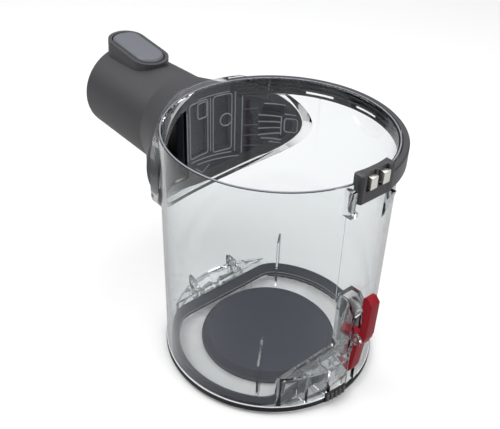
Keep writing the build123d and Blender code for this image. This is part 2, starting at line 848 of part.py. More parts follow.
# Red catch: thumb paddle, hub and hooked arm
with BuildPart() as bin_catch:
    with BuildSketch(Plane.XZ.offset(-catch_offset)):
        with BuildLine():
            Polyline(
                (paddle_inner, pivot_height),
                (paddle_inner, head_low - head_slope),
                (head_inner, head_low),
                (head_inner, catch_top - head_round),
                (head_inner + head_round, catch_top),
                (paddle_outer - paddle_round, catch_top),
                (paddle_outer, catch_top - paddle_round),
                (paddle_outer - paddle_taper, paddle_foot),
                (pivot_reach + hub_radius, pivot_height - hub_radius),
                (pivot_reach, pivot_height - hub_radius),
                close=True,
            )
        make_face()
        with Locations((pivot_reach, pivot_height)):
            Circle(hub_radius)
        with BuildLine():
            Polyline(
                (pivot_reach - arm_width / 2, pivot_height),
                (pivot_reach - arm_width / 2 - arm_lean, hook_top),
                (hook_tip, hook_top),
                (hook_tip, hook_top - hook_height / 3),
                (hook_tip + hook_height, hook_top - hook_height),
                (pivot_reach - arm_lean, hook_top - hook_height),
                (pivot_reach - heel_lean, hook_top),
                (pivot_reach + arm_width / 2, pivot_height),
                close=True,
            )
        make_face()
        with Locations(((toe_tip + pivot_reach) / 2, (toe_low + toe_high) / 2)):
            Rectangle(pivot_reach - toe_tip, toe_high - toe_low)
        with Locations((pivot_reach, pivot_height)):
            Circle(catch_pin_radius + pin_gap, mode=Mode.SUBTRACT)
    extrude(amount=catch_width / 2, both=True)
bin_catch.part.label = "bin_catch"
export_step(bin_catch.part, "parts/bin_catch.step")

# Steel pin of the catch
catch_span = slot_width / 2 + ear_wall
with BuildPart() as catch_pin:
    with BuildSketch(Plane.XZ.offset(-catch_offset)):
        with Locations((pivot_reach, pivot_height)):
            Circle(catch_pin_radius)
    extrude(amount=catch_span, both=True)
catch_pin.part.label = "catch_pin"
export_step(catch_pin.part, "parts/catch_pin.step")

# Return coil under the toe of the catch
catch_coil_room = toe_low - latch_shelf - catch_coil_wire - seat_gap
catch_coil_base = (catch_coil_reach, catch_offset, latch_shelf + catch_coil_wire / 2)
with BuildPart() as catch_spring:
    with BuildLine(Plane(origin=catch_coil_base)) as catch_coil:
        Polyline(*coil_points(catch_coil_radius, catch_coil_room, catch_coil_turns))
    with BuildSketch(Plane(origin=catch_coil.line @ 0, z_dir=catch_coil.line % 0)):
        RegularPolygon(catch_coil_wire / 2, coil_sides)
    sweep(transition=Transition.RIGHT)
catch_spring.part.label = "catch_spring"
export_step(catch_spring.part, "parts/catch_spring.step")

# Clear bin: wall, border of the inlet, pockets at the base, fins and outer ribs
well_side = slot_width / 2 + well_wall
shelf_under = latch_shelf - shelf_thickness
cut_reach = paddle_outer + side_gap
inner_back = well_back + well_wall
inner_top = well_top - well_wall
pocket_foot = wall_foot - side_gap
with BuildPart() as clear_bin:
    with BuildSketch(inlet_plane(mouth_reach)):
        eye_outline(border_width)
    extrude(amount=-mouth_reach)
    with BuildSketch(Plane.XY):
        Circle(border_radius)
    extrude(amount=bin_height, mode=Mode.INTERSECT)
    with BuildSketch(inlet_plane(mouth_reach)):
        eye_outline(guide_gap)
    extrude(amount=-mouth_reach, mode=Mode.SUBTRACT)
    with BuildSketch(Plane.XY.offset(pad_low)):
        with Locations((pad_reach / 2, 0)):
            Rectangle(pad_reach, 2 * pad_half_width)
    extrude(amount=pad_high - pad_low)
    with BuildSketch(Plane.XY.offset(wing_low)):
        with Locations((wing_reach / 2, -pad_half_width - wing_width / 2)):
            Rectangle(wing_reach, wing_width)
    extrude(amount=wing_high - wing_low)
    with BuildSketch(Plane.XY.offset(wing_low)):
        with Locations((wing_reach / 2, -pad_half_width)):
            Rectangle(wing_reach, 2 * wing_width)
    extrude(amount=wing_lip)
    with BuildSketch(Plane.XZ.offset(-pad_half_width)):
        with BuildLine():
            Polyline(
                (0, pad_high),
                (wing_reach, pad_high),
                (bin_bore, brace_low),
                (0, brace_low),
                close=True,
            )
        make_face()
    extrude(amount=-wing_width)
    with BuildSketch(Plane.XY.offset(wall_foot)):
        Circle(bin_radius)
    extrude(amount=bin_height - wall_foot)
    with BuildSketch(Plane.XY):
        Circle(bin_bore)
    extrude(amount=2 * bin_height, mode=Mode.SUBTRACT)
    for side, top in ((-1, hinge_shelf), (1, latch_shelf)):
        with BuildSketch(Plane.XY.offset(wall_foot)):
            Circle(bin_bore + bin_wall / 2)
            with Locations((side * (chord + bin_radius / 2), 0)):
                Rectangle(bin_radius, 2 * bin_radius, mode=Mode.INTERSECT)
        extrude(amount=top - wall_foot)
        with BuildSketch(Plane.XY.offset(wall_foot)):
            Circle(bin_bore)
            with Locations((side * (chord + chord_wall + bin_radius / 2), 0)):
                Rectangle(bin_radius, 2 * bin_radius, mode=Mode.INTERSECT)
        extrude(amount=top - shelf_thickness - wall_foot, mode=Mode.SUBTRACT)
    for y in rib_offsets:
        with BuildSketch(Plane.XY.offset(wall_foot)):
            Circle(bin_bore + bin_wall / 2)
            with Locations((chord + chord_wall / 2 + bin_radius / 2, y)):
                Rectangle(bin_radius, rib_wall, mode=Mode.INTERSECT)
        extrude(amount=shelf_under - wall_foot)
    for y in gusset_offsets:
        with BuildSketch(Plane.XZ.offset(-y)):
            with BuildLine():
                Polyline(
                    (-chord - chord_wall, hinge_shelf - shelf_thickness / 2),
                    (-chord - chord_wall, hinge_shelf + gusset_height / 2),
                    (-chord - 2 * chord_wall, hinge_shelf + gusset_height),
                    (-sqrt(bin_bore**2 - y**2) - bin_wall / 2, hinge_shelf + gusset_height),
                    (-sqrt(bin_bore**2 - y**2) - bin_wall / 2, hinge_shelf - shelf_thickness / 2),
                    close=True,
                )
            make_face()
        extrude(amount=gusset_width / 2, both=True)
    for side in (-1, 1):
        with BuildSketch(Plane.XZ.offset(-side * (knuckle_side + side_gap + lug_width / 2))):
            with Locations((-hinge_reach, hinge_height)):
                Circle(knuckle_radius)
            with Locations((-hinge_reach, (hinge_height + hinge_shelf) / 2 - shelf_thickness / 2)):
                Rectangle(2 * knuckle_radius, hinge_shelf - hinge_height - shelf_thickness / 2)
            with Locations((-hinge_reach, hinge_height)):
                Circle(hinge_pin_radius, mode=Mode.SUBTRACT)
        extrude(amount=lug_width / 2, both=True)
    with BuildSketch(Plane.XY.offset(pocket_foot)):
        with Locations((-bin_radius, 0)):
            Rectangle(2 * (bin_radius - hinge_reach - bin_wall), 2 * (knuckle_side + side_gap))
    extrude(amount=hinge_notch - pocket_foot, mode=Mode.SUBTRACT)
    with BuildSketch(Plane.XZ.offset(-catch_offset)):
        with BuildLine():
            Polyline(
                (well_back, shelf_under),
                (well_back, well_top),
                (well_shoulder, well_top),
                (bin_bore + bin_wall / 2, well_top - well_drop),
                (bin_bore + bin_wall / 2, shelf_under),
                close=True,
            )
        make_face()
    extrude(amount=well_side, both=True)
    with BuildSketch(Plane.XZ.offset(-catch_offset)):
        with BuildLine():
            Polyline(
                (inner_back, pocket_foot),
                (inner_back, shelf_under),
                (ledge_edge, shelf_under),
                (ledge_edge, latch_shelf),
                (inner_back, latch_shelf),
                (inner_back, inner_top),
                (well_shoulder - well_wall / 2, inner_top),
                (bin_bore, well_top - well_drop - well_wall),
                (cut_reach, well_top - well_drop - well_wall),
                (cut_reach, pocket_foot),
                close=True,
            )
        make_face()
    extrude(amount=slot_width / 2, both=True, mode=Mode.SUBTRACT)
    for side in (-1, 1):
        with BuildSketch(Plane.XZ.offset(-catch_offset - side * (slot_width + ear_wall) / 2)):
            with Locations((pivot_reach, pivot_height)):
                Circle(ear_radius)
            with Locations(((bin_bore + bin_wall / 2 + pivot_reach) / 2, pivot_height)):
                Rectangle(pivot_reach - bin_bore - bin_wall / 2, 2 * ear_radius)
            with Locations((pivot_reach, pivot_height)):
                Circle(catch_pin_radius, mode=Mode.SUBTRACT)
        extrude(amount=ear_wall / 2, both=True)
    with BuildSketch(Plane.XY.offset(pocket_foot)):
        with Locations((bin_radius, (rib_offsets[1] + rib_wall / 2 + finger_window_side) / 2)):
            Rectangle(4 * bin_wall, finger_window_side - rib_offsets[1] - rib_wall / 2)
    extrude(amount=finger_window_high - pocket_foot, mode=Mode.SUBTRACT)
    for angle in fin_angles:
        with BuildSketch(radial_plane(angle)):
            with BuildLine():
                Polyline(
                    (fin_inner, fin_low),
                    (seal_radius - seal_width - fin_gap, fin_low),
                    (seal_radius - seal_width - fin_gap, seal_step),
                    (seal_radius - fin_gap, seal_top + fin_gap),
                    (bin_bore + bin_wall / 2, seal_top + fin_gap),
                    (bin_bore + bin_wall / 2, fin_outer_top),
                    (fin_inner, fin_inner_top),
                    close=True,
                )
            make_face()
        extrude(amount=fin_wall / 2, both=True)
    add(air_window.part, mode=Mode.SUBTRACT)
    add(cover_space.part, mode=Mode.SUBTRACT)
    with BuildSketch(Plane.XY.offset(bin_height)):
        Circle(mouth_radius)
    extrude(amount=-mouth_seat_depth, mode=Mode.SUBTRACT)
    rim_edges = clear_bin.faces().sort_by(Axis.Z)[-1].inner_wires()[0].edges()
    chamfer(rim_edges, rim_chamfer)
clear_bin.part.label = "clear_bin"
export_step(clear_bin.part, "parts/clear_bin.step")
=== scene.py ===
"""Looks of a clear cyclone dust bin with a flared inlet tube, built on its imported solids."""

import logging
import math
from collections.abc import Iterable, Sequence
from dataclasses import dataclass
from enum import Enum

import bmesh
import bpy
from mathutils import Matrix, Vector


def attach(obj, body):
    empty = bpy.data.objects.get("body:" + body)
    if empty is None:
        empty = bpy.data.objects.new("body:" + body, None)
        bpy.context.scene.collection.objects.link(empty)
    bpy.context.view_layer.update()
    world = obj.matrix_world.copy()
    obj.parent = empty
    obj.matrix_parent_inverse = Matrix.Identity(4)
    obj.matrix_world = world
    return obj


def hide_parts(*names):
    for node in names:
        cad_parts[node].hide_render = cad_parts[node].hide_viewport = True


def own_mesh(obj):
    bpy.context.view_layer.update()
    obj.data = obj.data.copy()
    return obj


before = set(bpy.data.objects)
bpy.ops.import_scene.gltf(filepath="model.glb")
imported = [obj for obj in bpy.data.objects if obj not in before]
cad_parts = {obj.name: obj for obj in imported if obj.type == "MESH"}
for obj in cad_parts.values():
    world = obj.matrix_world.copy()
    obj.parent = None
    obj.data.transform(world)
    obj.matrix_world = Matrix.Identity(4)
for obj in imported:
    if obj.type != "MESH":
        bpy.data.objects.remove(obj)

LOG = logging.getLogger("dust_bin")
MM = 0.001
TOUCH = 0.02  # Distance in millimetres within which a vertex lies on a surface.
NEAR = 0.05  # Distance in millimetres within which a vertex belongs to a face of a solid.
FACET = 0.06  # Depth in millimetres of the facets of a solid's finer round walls.
CORNER = 0.2  # Rounding in millimetres of the corners of a swept edge.
SURFACE = "Principled BSDF"

Span = tuple[float, float]
Triple = tuple[float, float, float]
Rail = tuple[float, float, float, float]
Plane = tuple[Vector, Vector]
Box = tuple[Triple, Triple]


class Body(Enum):
    """Rigid bodies of the part."""

    BIN = "bin"
    FLAP = "flap"
    CATCH = "catch"
    BUTTON = "button"


class Texture(Enum):
    """Surface textures that a moulded finish can have."""

    POLISHED = 0.0
    SATIN = 0.35
    MATT = 1.0


def feed(tree: bpy.types.NodeTree, socket: bpy.types.NodeSocket, value: object) -> None:
    """Give an input its value, or a link where the value is a socket.

    Args:
        tree: Node tree of the input.
        socket: The input.
        value: Value or socket for it.
    """
    if isinstance(value, bpy.types.NodeSocket):
        tree.links.new(value, socket)
    else:
        socket.default_value = value


def node_at(tree: bpy.types.NodeTree, kind: str, mode: str = "", **inputs: object) -> bpy.types.Node:
    """Add a node, set its inputs and link those that are given as sockets.

    Args:
        tree: Node tree that gets the node.
        kind: Node type name.
        mode: Working mode of the node, where it has one.
        **inputs: Values or sockets for inputs, by socket name with spaces written as underscores.

    Returns:
        The new node.
    """
    node = tree.nodes.new(kind)
    if mode:
        node.mode = mode
    for name, value in inputs.items():
        feed(tree, node.inputs[name.replace("_", " ")], value)
    return node


def math_at(tree: bpy.types.NodeTree, operation: str, *terms: object) -> bpy.types.NodeSocket:
    """Add a Math node.

    Args:
        tree: Node tree that gets the node.
        operation: Name of the operation.
        *terms: Sockets or numbers for its inputs.

    Returns:
        The node's output socket.
    """
    node = tree.nodes.new("ShaderNodeMath")
    node.operation = operation
    for socket, value in zip(node.inputs, terms):
        feed(tree, socket, value)
    return node.outputs[0]


def mix_at(tree: bpy.types.NodeTree, share: object, first: object, second: object) -> bpy.types.NodeSocket:
    """Add a Mix node for colours.

    Args:
        tree: Node tree that gets the node.
        share: Share of the second colour.
        first: Colour or socket that a share of 0 gives.
        second: Colour or socket that a share of 1 gives.

    Returns:
        The mixed colour.
    """
    node = tree.nodes.new("ShaderNodeMix")
    node.data_type = "RGBA"
    for name, value in (("Factor", share), ("A", first), ("B", second)):
        feed(tree, node.inputs[name], value)
    return node.outputs["Result"]


def polar(radius: float, angle: float, height: float) -> Vector:
    """Point in millimetres at a radius, an angle in degrees from +X and a height."""
    turn = math.radians(angle)
    return Vector((radius * math.cos(turn), radius * math.sin(turn), height))


def arc(radius: float, first: float, last: float, height: float, steps: int) -> list[Vector]:
    """Points in millimetres of an arc about the Z axis, from one angle in degrees to another."""
    return [polar(radius, first + (last - first) * step / steps, height) for step in range(steps + 1)]


def half_turn(step: float) -> list[float]:
    """Angles in radians that share out half a turn in steps of degrees, off the solids' own facets."""
    offset = 0.37
    return [math.radians(step * (index + offset)) for index in range(round(180.0 / step))]


def turning_cuts(step: float = 2.0) -> list[Plane]:
    """Planes through the bin axis, a step in degrees apart."""
    return [(Vector((0, 0, 0)), Vector((math.sin(turn), -math.cos(turn), 0))) for turn in half_turn(step)]


def linked(name: str, data: bpy.types.ID) -> bpy.types.Object:
    """Put data into the scene as an object.

    Args:
        name: Name of the object.
        data: Its mesh, curve, lamp or camera.

    Returns:
        The new object.
    """
    made = bpy.data.objects.new(name, data)
    bpy.context.scene.collection.objects.link(made)
    return made


def linked_mesh(name: str, work: bmesh.types.BMesh) -> bpy.types.Object:
    """Turn mesh work into an object.

    Args:
        name: Name of the object and its mesh.
        work: The mesh work, freed afterwards.

    Returns:
        The new object.
    """
    mesh = bpy.data.meshes.new(name)
    work.to_mesh(mesh)
    work.free()
    return linked(name, mesh)


def add_box(work: bmesh.types.BMesh, box: Box) -> None:
    """Add a box to mesh work.

    Args:
        work: The mesh work.
        box: Lowest and highest corner in millimetres.
    """
    low, high = (Vector(corner) * MM for corner in box)
    stretch = Matrix.Translation((low + high) / 2) @ Matrix.Diagonal((*(high - low), 1.0))
    bmesh.ops.create_cube(work, size=1.0, matrix=stretch)


class MouldedSkin:
    """Shader group for moulded plastic: fine grain, cloudy colour and a little dust on upward faces.

    FINE, CLOUD and SPECK hold the scale, detail and roughness of a noise.
    """

    INPUTS = (
        ("Colour", "NodeSocketColor", (0.1, 0.1, 0.1, 1.0)),
        ("Variation", "NodeSocketFloat", 0.1),
        ("Grain", "NodeSocketFloat", 0.5),
        ("Roughness", "NodeSocketFloat", 0.5),
        ("Dust", "NodeSocketFloat", 0.05),
    )
    OUTPUTS = (
        ("Colour", "NodeSocketColor"),
        ("Roughness", "NodeSocketFloat"),
        ("Height", "NodeSocketFloat"),
    )
    FINE = (2600.0, 3.0, 0.6)
    CLOUD = (38.0, 5.0, 0.55)
    SPECK = (900.0, 2.0, 0.5)
    DUST_COLOUR = (0.62, 0.61, 0.6, 1.0)
    ROUGH_SHARE = 0.8

    def __init__(self) -> None:
        """Build the group once."""
        tree = bpy.data.node_groups.new("MouldedSkin", "ShaderNodeTree")
        for name, kind, value in self.INPUTS:
            tree.interface.new_socket(name, in_out="INPUT", socket_type=kind).default_value = value
        for name, kind in self.OUTPUTS:
            tree.interface.new_socket(name, in_out="OUTPUT", socket_type=kind)
        given = tree.nodes.new("NodeGroupInput").outputs
        out = tree.nodes.new("NodeGroupOutput").inputs
        place = tree.nodes.new("ShaderNodeTexCoord").outputs["Object"]
        fine, cloud, speck = (
            node_at(tree, "ShaderNodeTexNoise", Vector=place, Scale=scale, Detail=detail, Roughness=rough)
            for scale, detail, rough in (self.FINE, self.CLOUD, self.SPECK)
        )
        centred = math_at(tree, "SUBTRACT", cloud.outputs["Fac"], 0.5)
        swing = math_at(tree, "MULTIPLY", centred, given["Variation"])
        scaled = tree.nodes.new("ShaderNodeVectorMath")
        scaled.operation = "SCALE"
        tree.links.new(given["Colour"], scaled.inputs[0])
        tree.links.new(math_at(tree, "ADD", swing, 1.0), scaled.inputs["Scale"])
        normal = tree.nodes.new("ShaderNodeNewGeometry").outputs["Normal"]
        split = node_at(tree, "ShaderNodeSeparateXYZ", Vector=normal)
        upward = math_at(tree, "MAXIMUM", split.outputs["Z"], 0.0)
        patchy = math_at(tree, "MULTIPLY", upward, speck.outputs["Fac"])
        dusty = math_at(tree, "MULTIPLY", patchy, given["Dust"])
        rough = math_at(tree, "MULTIPLY", swing, self.ROUGH_SHARE)
        tree.links.new(mix_at(tree, dusty, scaled.outputs[0], self.DUST_COLOUR), out["Colour"])
        tree.links.new(math_at(tree, "ADD", given["Roughness"], rough), out["Roughness"])
        tree.links.new(math_at(tree, "MULTIPLY", fine.outputs["Fac"], given["Grain"]), out["Height"])
        self.tree = tree

    def place(self, tree: bpy.types.NodeTree, **values: object) -> bpy.types.Node:
        """Put the group into a material's tree.

        Args:
            tree: The material's node tree.
            **values: Values of the group's inputs.

        Returns:
            The group node.
        """
        group = tree.nodes.new("ShaderNodeGroup")
        group.node_tree = self.tree
        for name, value in values.items():
            group.inputs[name].default_value = value
        return group


@dataclass(frozen=True)
class Look:
    """Finish of a piece: the moulded skin on a surface that each kind of finish tunes.

    Args:
        name: Material name.
        slot: Slot of the record that the finish stands for; not used.
        colour: Linear colour of the surface or, in a clear finish, of light that passes one wall.
        roughness: Mean roughness.
        texture: Surface texture.
        variation: How far colour and roughness wander.
        dust: Share of pale dust on upward faces.
        relief: Strength of the grain's relief and its depth in millimetres.
    """

    name: str
    slot: str
    colour: Triple
    roughness: float
    texture: Texture = Texture.MATT
    variation: float = 0.12
    dust: float = 0.0
    relief: Span = (0.0, 0.0)

    def material(self, skin: MouldedSkin) -> bpy.types.Material:
        """Make the material.

        Args:
            skin: Shared moulded skin group.

        Returns:
            The material.
        """
        made = bpy.data.materials.new(self.name)
        made.use_nodes = True
        tree = made.node_tree
        surface = tree.nodes[SURFACE]
        group = skin.place(
            tree,
            Colour=(*self.colour, 1.0),
            Variation=self.variation,
            Grain=self.texture.value,
            Roughness=self.roughness,
            Dust=self.dust,
        )
        tree.links.new(group.outputs["Colour"], surface.inputs["Base Color"])
        tree.links.new(group.outputs["Roughness"], surface.inputs["Roughness"])
        strength, depth = self.relief
        if strength:
            grain = group.outputs["Height"]
            bump = node_at(tree, "ShaderNodeBump", Strength=strength, Distance=depth * MM, Height=grain)
            tree.links.new(bump.outputs["Normal"], surface.inputs["Normal"])
        self.tune(tree, surface)
        return made

    def tune(self, tree: bpy.types.NodeTree, surface: bpy.types.Node) -> None:
        """Set what the kind of finish adds to the surface in a material's tree."""
        raise NotImplementedError


@dataclass(frozen=True)
class Moulding(Look):
    """Opaque moulded plastic or rubber.

    Args:
        coat: Weight of the clear gloss coat.
        coat_roughness: Roughness of the coat.
        gloss: Strength of the surface's own mirror light.
    """

    relief: Span = (0.25, 0.04)
    coat: float = 0.0
    coat_roughness: float = 0.08
    gloss: float = 0.5

    def tune(self, tree: bpy.types.NodeTree, surface: bpy.types.Node) -> None:
        """Set the gloss and the coat.

        Args:
            tree: Node tree of the material.
            surface: Its surface node.
        """
        surface.inputs["Specular IOR Level"].default_value = self.gloss
        surface.inputs["Coat Weight"].default_value = self.coat
        surface.inputs["Coat Roughness"].default_value = self.coat_roughness


@dataclass(frozen=True)
class ClearPlastic(Look):
    """Clear moulded plastic that lets light through to what it covers.

    Args:
        index: Refractive index.
        shade: Share of light that the plastic keeps from what lies in its shadow.
    """

    texture: Texture = Texture.POLISHED
    variation: float = 0.02
    index: float = 1.4
    shade: float = 0.12

    def tune(self, tree: bpy.types.NodeTree, surface: bpy.types.Node) -> None:
        """Make the surface clear and its shadow pale.

        Args:
            tree: Node tree of the material.
            surface: Its surface node.
        """
        surface.inputs["Transmission Weight"].default_value = 1.0
        surface.inputs["IOR"].default_value = self.index
        path = tree.nodes.new("ShaderNodeLightPath").outputs
        soft = math_at(tree, "MAXIMUM", path["Is Shadow Ray"], path["Is Diffuse Ray"])
        passed = math_at(tree, "MULTIPLY", soft, 1.0 - self.shade)
        tree.links.new(math_at(tree, "SUBTRACT", 1.0, passed), surface.inputs["Alpha"])


@dataclass(frozen=True)
class PlatedMetal(Look):
    """Bare or plated metal with a fine grain."""

    texture: Texture = Texture.SATIN
    variation: float = 0.15
    relief: Span = (0.15, 0.02)

    def tune(self, tree: bpy.types.NodeTree, surface: bpy.types.Node) -> None:
        """Make the surface metallic."""
        surface.inputs["Metallic"].default_value = 1.0


class Finish(Enum):
    """Finishes of the pieces."""

    CLEAR = ClearPlastic("ClearPolycarbonate", "clear_plastic", (0.87, 0.89, 0.895), 0.0)
    TUBE = Moulding("DarkTubePlastic", "dark_plastic", (0.042, 0.041, 0.045), 0.46, Texture.MATT, 0.16, 0.02)
    GUIDE = Moulding(
        "DarkGuidePlastic",
        "dark_plastic",
        (0.026, 0.029, 0.04),
        0.3,
        Texture.POLISHED,
        0.16,
        0.01,
        gloss=0.35,
    )
    # Pale beads: their colour paints the highlights that the guide's rib edges catch behind the clear wall.
    PAINTED_RIB_HIGHLIGHT = Moulding(
        "PaintedRibHighlight", "dark_plastic", (0.3, 0.31, 0.35), 0.2, Texture.POLISHED, 0.3, 0.0, coat=0.6
    )
    # Dim bands: their colour paints a soft sheen along the guide's long ribs.
    PAINTED_RIB_SHEEN = Moulding(
        "PaintedRibSheen", "dark_plastic", (0.1, 0.105, 0.125), 0.25, Texture.POLISHED, 0.2, 0.0, coat=0.3
    )
    # Pale edge at the wall's foot: its colour paints the bright line of light that the clear wall's foot
    # shows.
    PAINTED_FOOT_HIGHLIGHT = Moulding(
        "PaintedFootHighlight", "clear_plastic", (0.72, 0.74, 0.77), 0.3, Texture.POLISHED, 0.1, 0.0, coat=0.4
    )
    # Grey rim edge: its colour paints the line of light and shade that the clear rim shows.
    PAINTED_RIM_LINE = Moulding(
        "PaintedRimLine", "clear_plastic", (0.26, 0.265, 0.31), 0.25, Texture.POLISHED, 0.1, 0.0, coat=0.5
    )
    BUTTON = Moulding(
        "ButtonPlastic", "button_plastic", (0.125, 0.135, 0.155), 0.42, Texture.SATIN, 0.1, 0.02
    )
    COVER = Moulding("CoverPlastic", "cover_plastic", (0.036, 0.036, 0.041), 0.36, Texture.SATIN, 0.14, 0.02)
    EDGE = Moulding(
        "BlackEdgePlastic", "black_plastic", (0.005, 0.005, 0.006), 0.3, Texture.SATIN, 0.1, 0.0, gloss=0.3
    )
    TAB = Moulding("GreyTabPlastic", "black_plastic", (0.11, 0.107, 0.1), 0.4, Texture.SATIN, 0.12, 0.02)
    CATCH = Moulding(
        "RedCatchPlastic", "red_plastic", (0.27, 0.004, 0.012), 0.42, Texture.SATIN, 0.14, 0.0, gloss=0.2
    )
    SEAL = Moulding(
        "SlateRubber", "seal_rubber", (0.026, 0.031, 0.047), 0.5, Texture.SATIN, 0.14, 0.01, gloss=0.15
    )
    # Pale bead at the seal's root: its colour paints the highlight along the root's edge.
    PAINTED_SEAL_HIGHLIGHT = Moulding("PaintedSealHighlight", "seal_rubber", (0.2, 0.21, 0.24), 0.4, Texture.SATIN, 0.1, 0.0)
    SLEEVE = Moulding("LeadSleeve", "lead_sleeve", (0.03, 0.03, 0.032), 0.4, Texture.SATIN, 0.1, 0.0)
    CONTACT = PlatedMetal("PlatedContact", "contact_metal", (0.9, 0.88, 0.82), 0.34)
    STEEL = PlatedMetal("DrawnSteel", "steel", (0.56, 0.57, 0.58), 0.26)


class Skin:
    """Smooth surface onto which the facets of a solid's copy are brought."""

    def level(self, spot: Vector) -> float:
        """Size of a vertex's place relative to the surface, 1 on it."""
        raise NotImplementedError

    def settle(self, spot: Vector) -> Vector | None:
        """Place on the surface for a vertex that belongs to it, or None."""
        raise NotImplementedError

    def holds(self, spot: Vector) -> bool:
        """Whether a settled vertex lies on the surface."""
        raise NotImplementedError

    def outward(self, spot: Vector) -> Vector:
        """Work out the direction square to the surface from how the level grows.

        Args:
            spot: Place of a vertex in metres.

        Returns:
            The direction, of length 1.
        """
        steps = [axis * TOUCH * MM for axis in Matrix.Identity(3)]
        return Vector([self.level(spot + step) - self.level(spot - step) for step in steps]).normalized()


@dataclass(frozen=True)
class RoundWall(Skin):
    """Cylinder about the bin axis.

    Args:
        source: Radius of the solid's wall in millimetres.
        radius: Radius that the wall gets in millimetres.
        slack: How far inside the source radius a facet may lie, in millimetres.
    """

    source: float
    radius: float
    slack: float = 0.12

    def level(self, spot: Vector) -> float:
        """Distance of a vertex from the bin axis relative to the wall's radius."""
        return math.hypot(spot.x, spot.y) / MM / self.radius

    def settle(self, spot: Vector) -> Vector | None:
        """Bring a vertex of the wall onto the cylinder.

        Args:
            spot: Place of the vertex in metres.

        Returns:
            Its new place, or None for a vertex that doesn't belong to the wall.
        """
        reach = math.hypot(spot.x, spot.y) / MM
        if not -TOUCH < self.source - reach < self.slack:
            return None
        return Vector((spot.x * self.radius / reach, spot.y * self.radius / reach, spot.z))

    def holds(self, spot: Vector) -> bool:
        """Whether a settled vertex lies on the cylinder."""
        return abs(self.level(spot) - 1.0) * self.radius < TOUCH

    def outward(self, spot: Vector) -> Vector:
        """Direction away from the bin axis."""
        return Vector((spot.x, spot.y, 0.0)).normalized()


@dataclass(frozen=True)
class PadWall(RoundWall):
    """Flat raised pad under the contact block, bent round to a thin raised panel.

    Args:
        half_width: Half width of the pad in millimetres.
    """

    half_width: float = 12.5

    def settle(self, spot: Vector) -> Vector | None:
        """Bring a vertex of the pad's face onto the panel.

        Args:
            spot: Place of the vertex in metres.

        Returns:
            Its new place, or None for a vertex that doesn't belong to the pad.
        """
        across = spot.y / MM
        if abs(spot.x / MM - self.source) > TOUCH or abs(across) > self.half_width + TOUCH:
            return None
        return Vector((math.sqrt(self.radius**2 - across**2) * MM, spot.y, spot.z))


@dataclass(frozen=True)
class DuctSkin(Skin):
    """Outside of the inlet: a slightly conical tube that flares into the saddle.

    Args:
        height: Height of the tube's axis in millimetres.
        mouth: Distance of the mouth from the bin axis.
        mouth_radius: Outside radius at the mouth.
        root: Distance from the bin axis at which the flare starts.
        root_radius: Outside radius there.
        end: Distance from the bin axis at which the flare ends.
        half_width: Half width of the flare at its end.
        rise: Growth of its half height.
        lift: Rise of its middle.
        power: Curvature of its widening.
        stations: Number of sections that the solid's straight bands join.
        slack: How far a facet may lie off the solid's surface.
    """

    height: float = 106.0
    mouth: float = 144.0
    mouth_radius: float = 26.0
    root: float = 84.0
    root_radius: float = 27.2
    end: float = 28.0
    half_width: float = 60.3
    rise: float = 4.0
    lift: float = 5.0
    power: float = 1.25
    stations: int = 6
    slack: float = 0.06

    def section(self, reach: float) -> Triple:
        """Work out a section of the tube or flare.

        Args:
            reach: Distance of the section from the bin axis in millimetres.

        Returns:
            Half width, half height and height of the middle.
        """
        if reach >= self.root:
            share = (self.mouth - reach) / (self.mouth - self.root)
            radius = self.mouth_radius + (self.root_radius - self.mouth_radius) * share
            return radius, radius, self.height
        share = (self.root - reach) / (self.root - self.end)
        wide = self.root_radius + (self.half_width - self.root_radius) * share**self.power
        return wide, self.root_radius + self.rise * share, self.height + self.lift * share

    def band(self, reach: float) -> Triple:
        """Work out a section of the solid, whose flare is made of straight bands.

        Args:
            reach: Distance of the section from the bin axis in millimetres.

        Returns:
            Half width, half height and height of the middle.
        """
        if reach >= self.root:
            return self.section(reach)
        step = (self.root - self.end) / (self.stations - 1)
        index = min(int((self.root - reach) / step), self.stations - 2)
        first = self.section(self.root - index * step)
        last = self.section(self.root - (index + 1) * step)
        share = (self.root - reach) / step - index
        wide, tall, middle = (start + (end - start) * share for start, end in zip(first, last))
        return wide, tall, middle

    def inside(self, spot: Vector) -> bool:
        """Whether a vertex lies between the ends of the tube and flare."""
        return self.end < -spot.x / MM < self.mouth + TOUCH / 2

    def level(self, spot: Vector, banded: bool = False) -> float:
        """Work out the size of a vertex's place relative to the section there.

        Args:
            spot: Place of the vertex in metres.
            banded: Whether the section is the solid's.

        Returns:
            The size, 1 on the surface.
        """
        wide, tall, middle = self.band(-spot.x / MM) if banded else self.section(-spot.x / MM)
        return math.hypot(spot.y / MM / wide, (spot.z / MM - middle) / tall)

    def settle(self, spot: Vector) -> Vector | None:
        """Bring a vertex of the solid's tube or flare onto the smooth surface.

        Args:
            spot: Place of the vertex in metres.

        Returns:
            Its new place, or None for a vertex that doesn't belong to the surface.
        """
        if not self.inside(spot) or abs(self.level(spot, True) - 1.0) * self.root_radius > self.slack:
            return None
        middle = self.section(-spot.x / MM)[2]
        level = self.level(spot)
        return Vector((spot.x, spot.y / level, (middle + (spot.z / MM - middle) / level) * MM))

    def holds(self, spot: Vector) -> bool:
        """Whether a settled vertex lies on the surface."""
        return self.inside(spot) and abs(self.level(spot) - 1.0) * self.root_radius < TOUCH


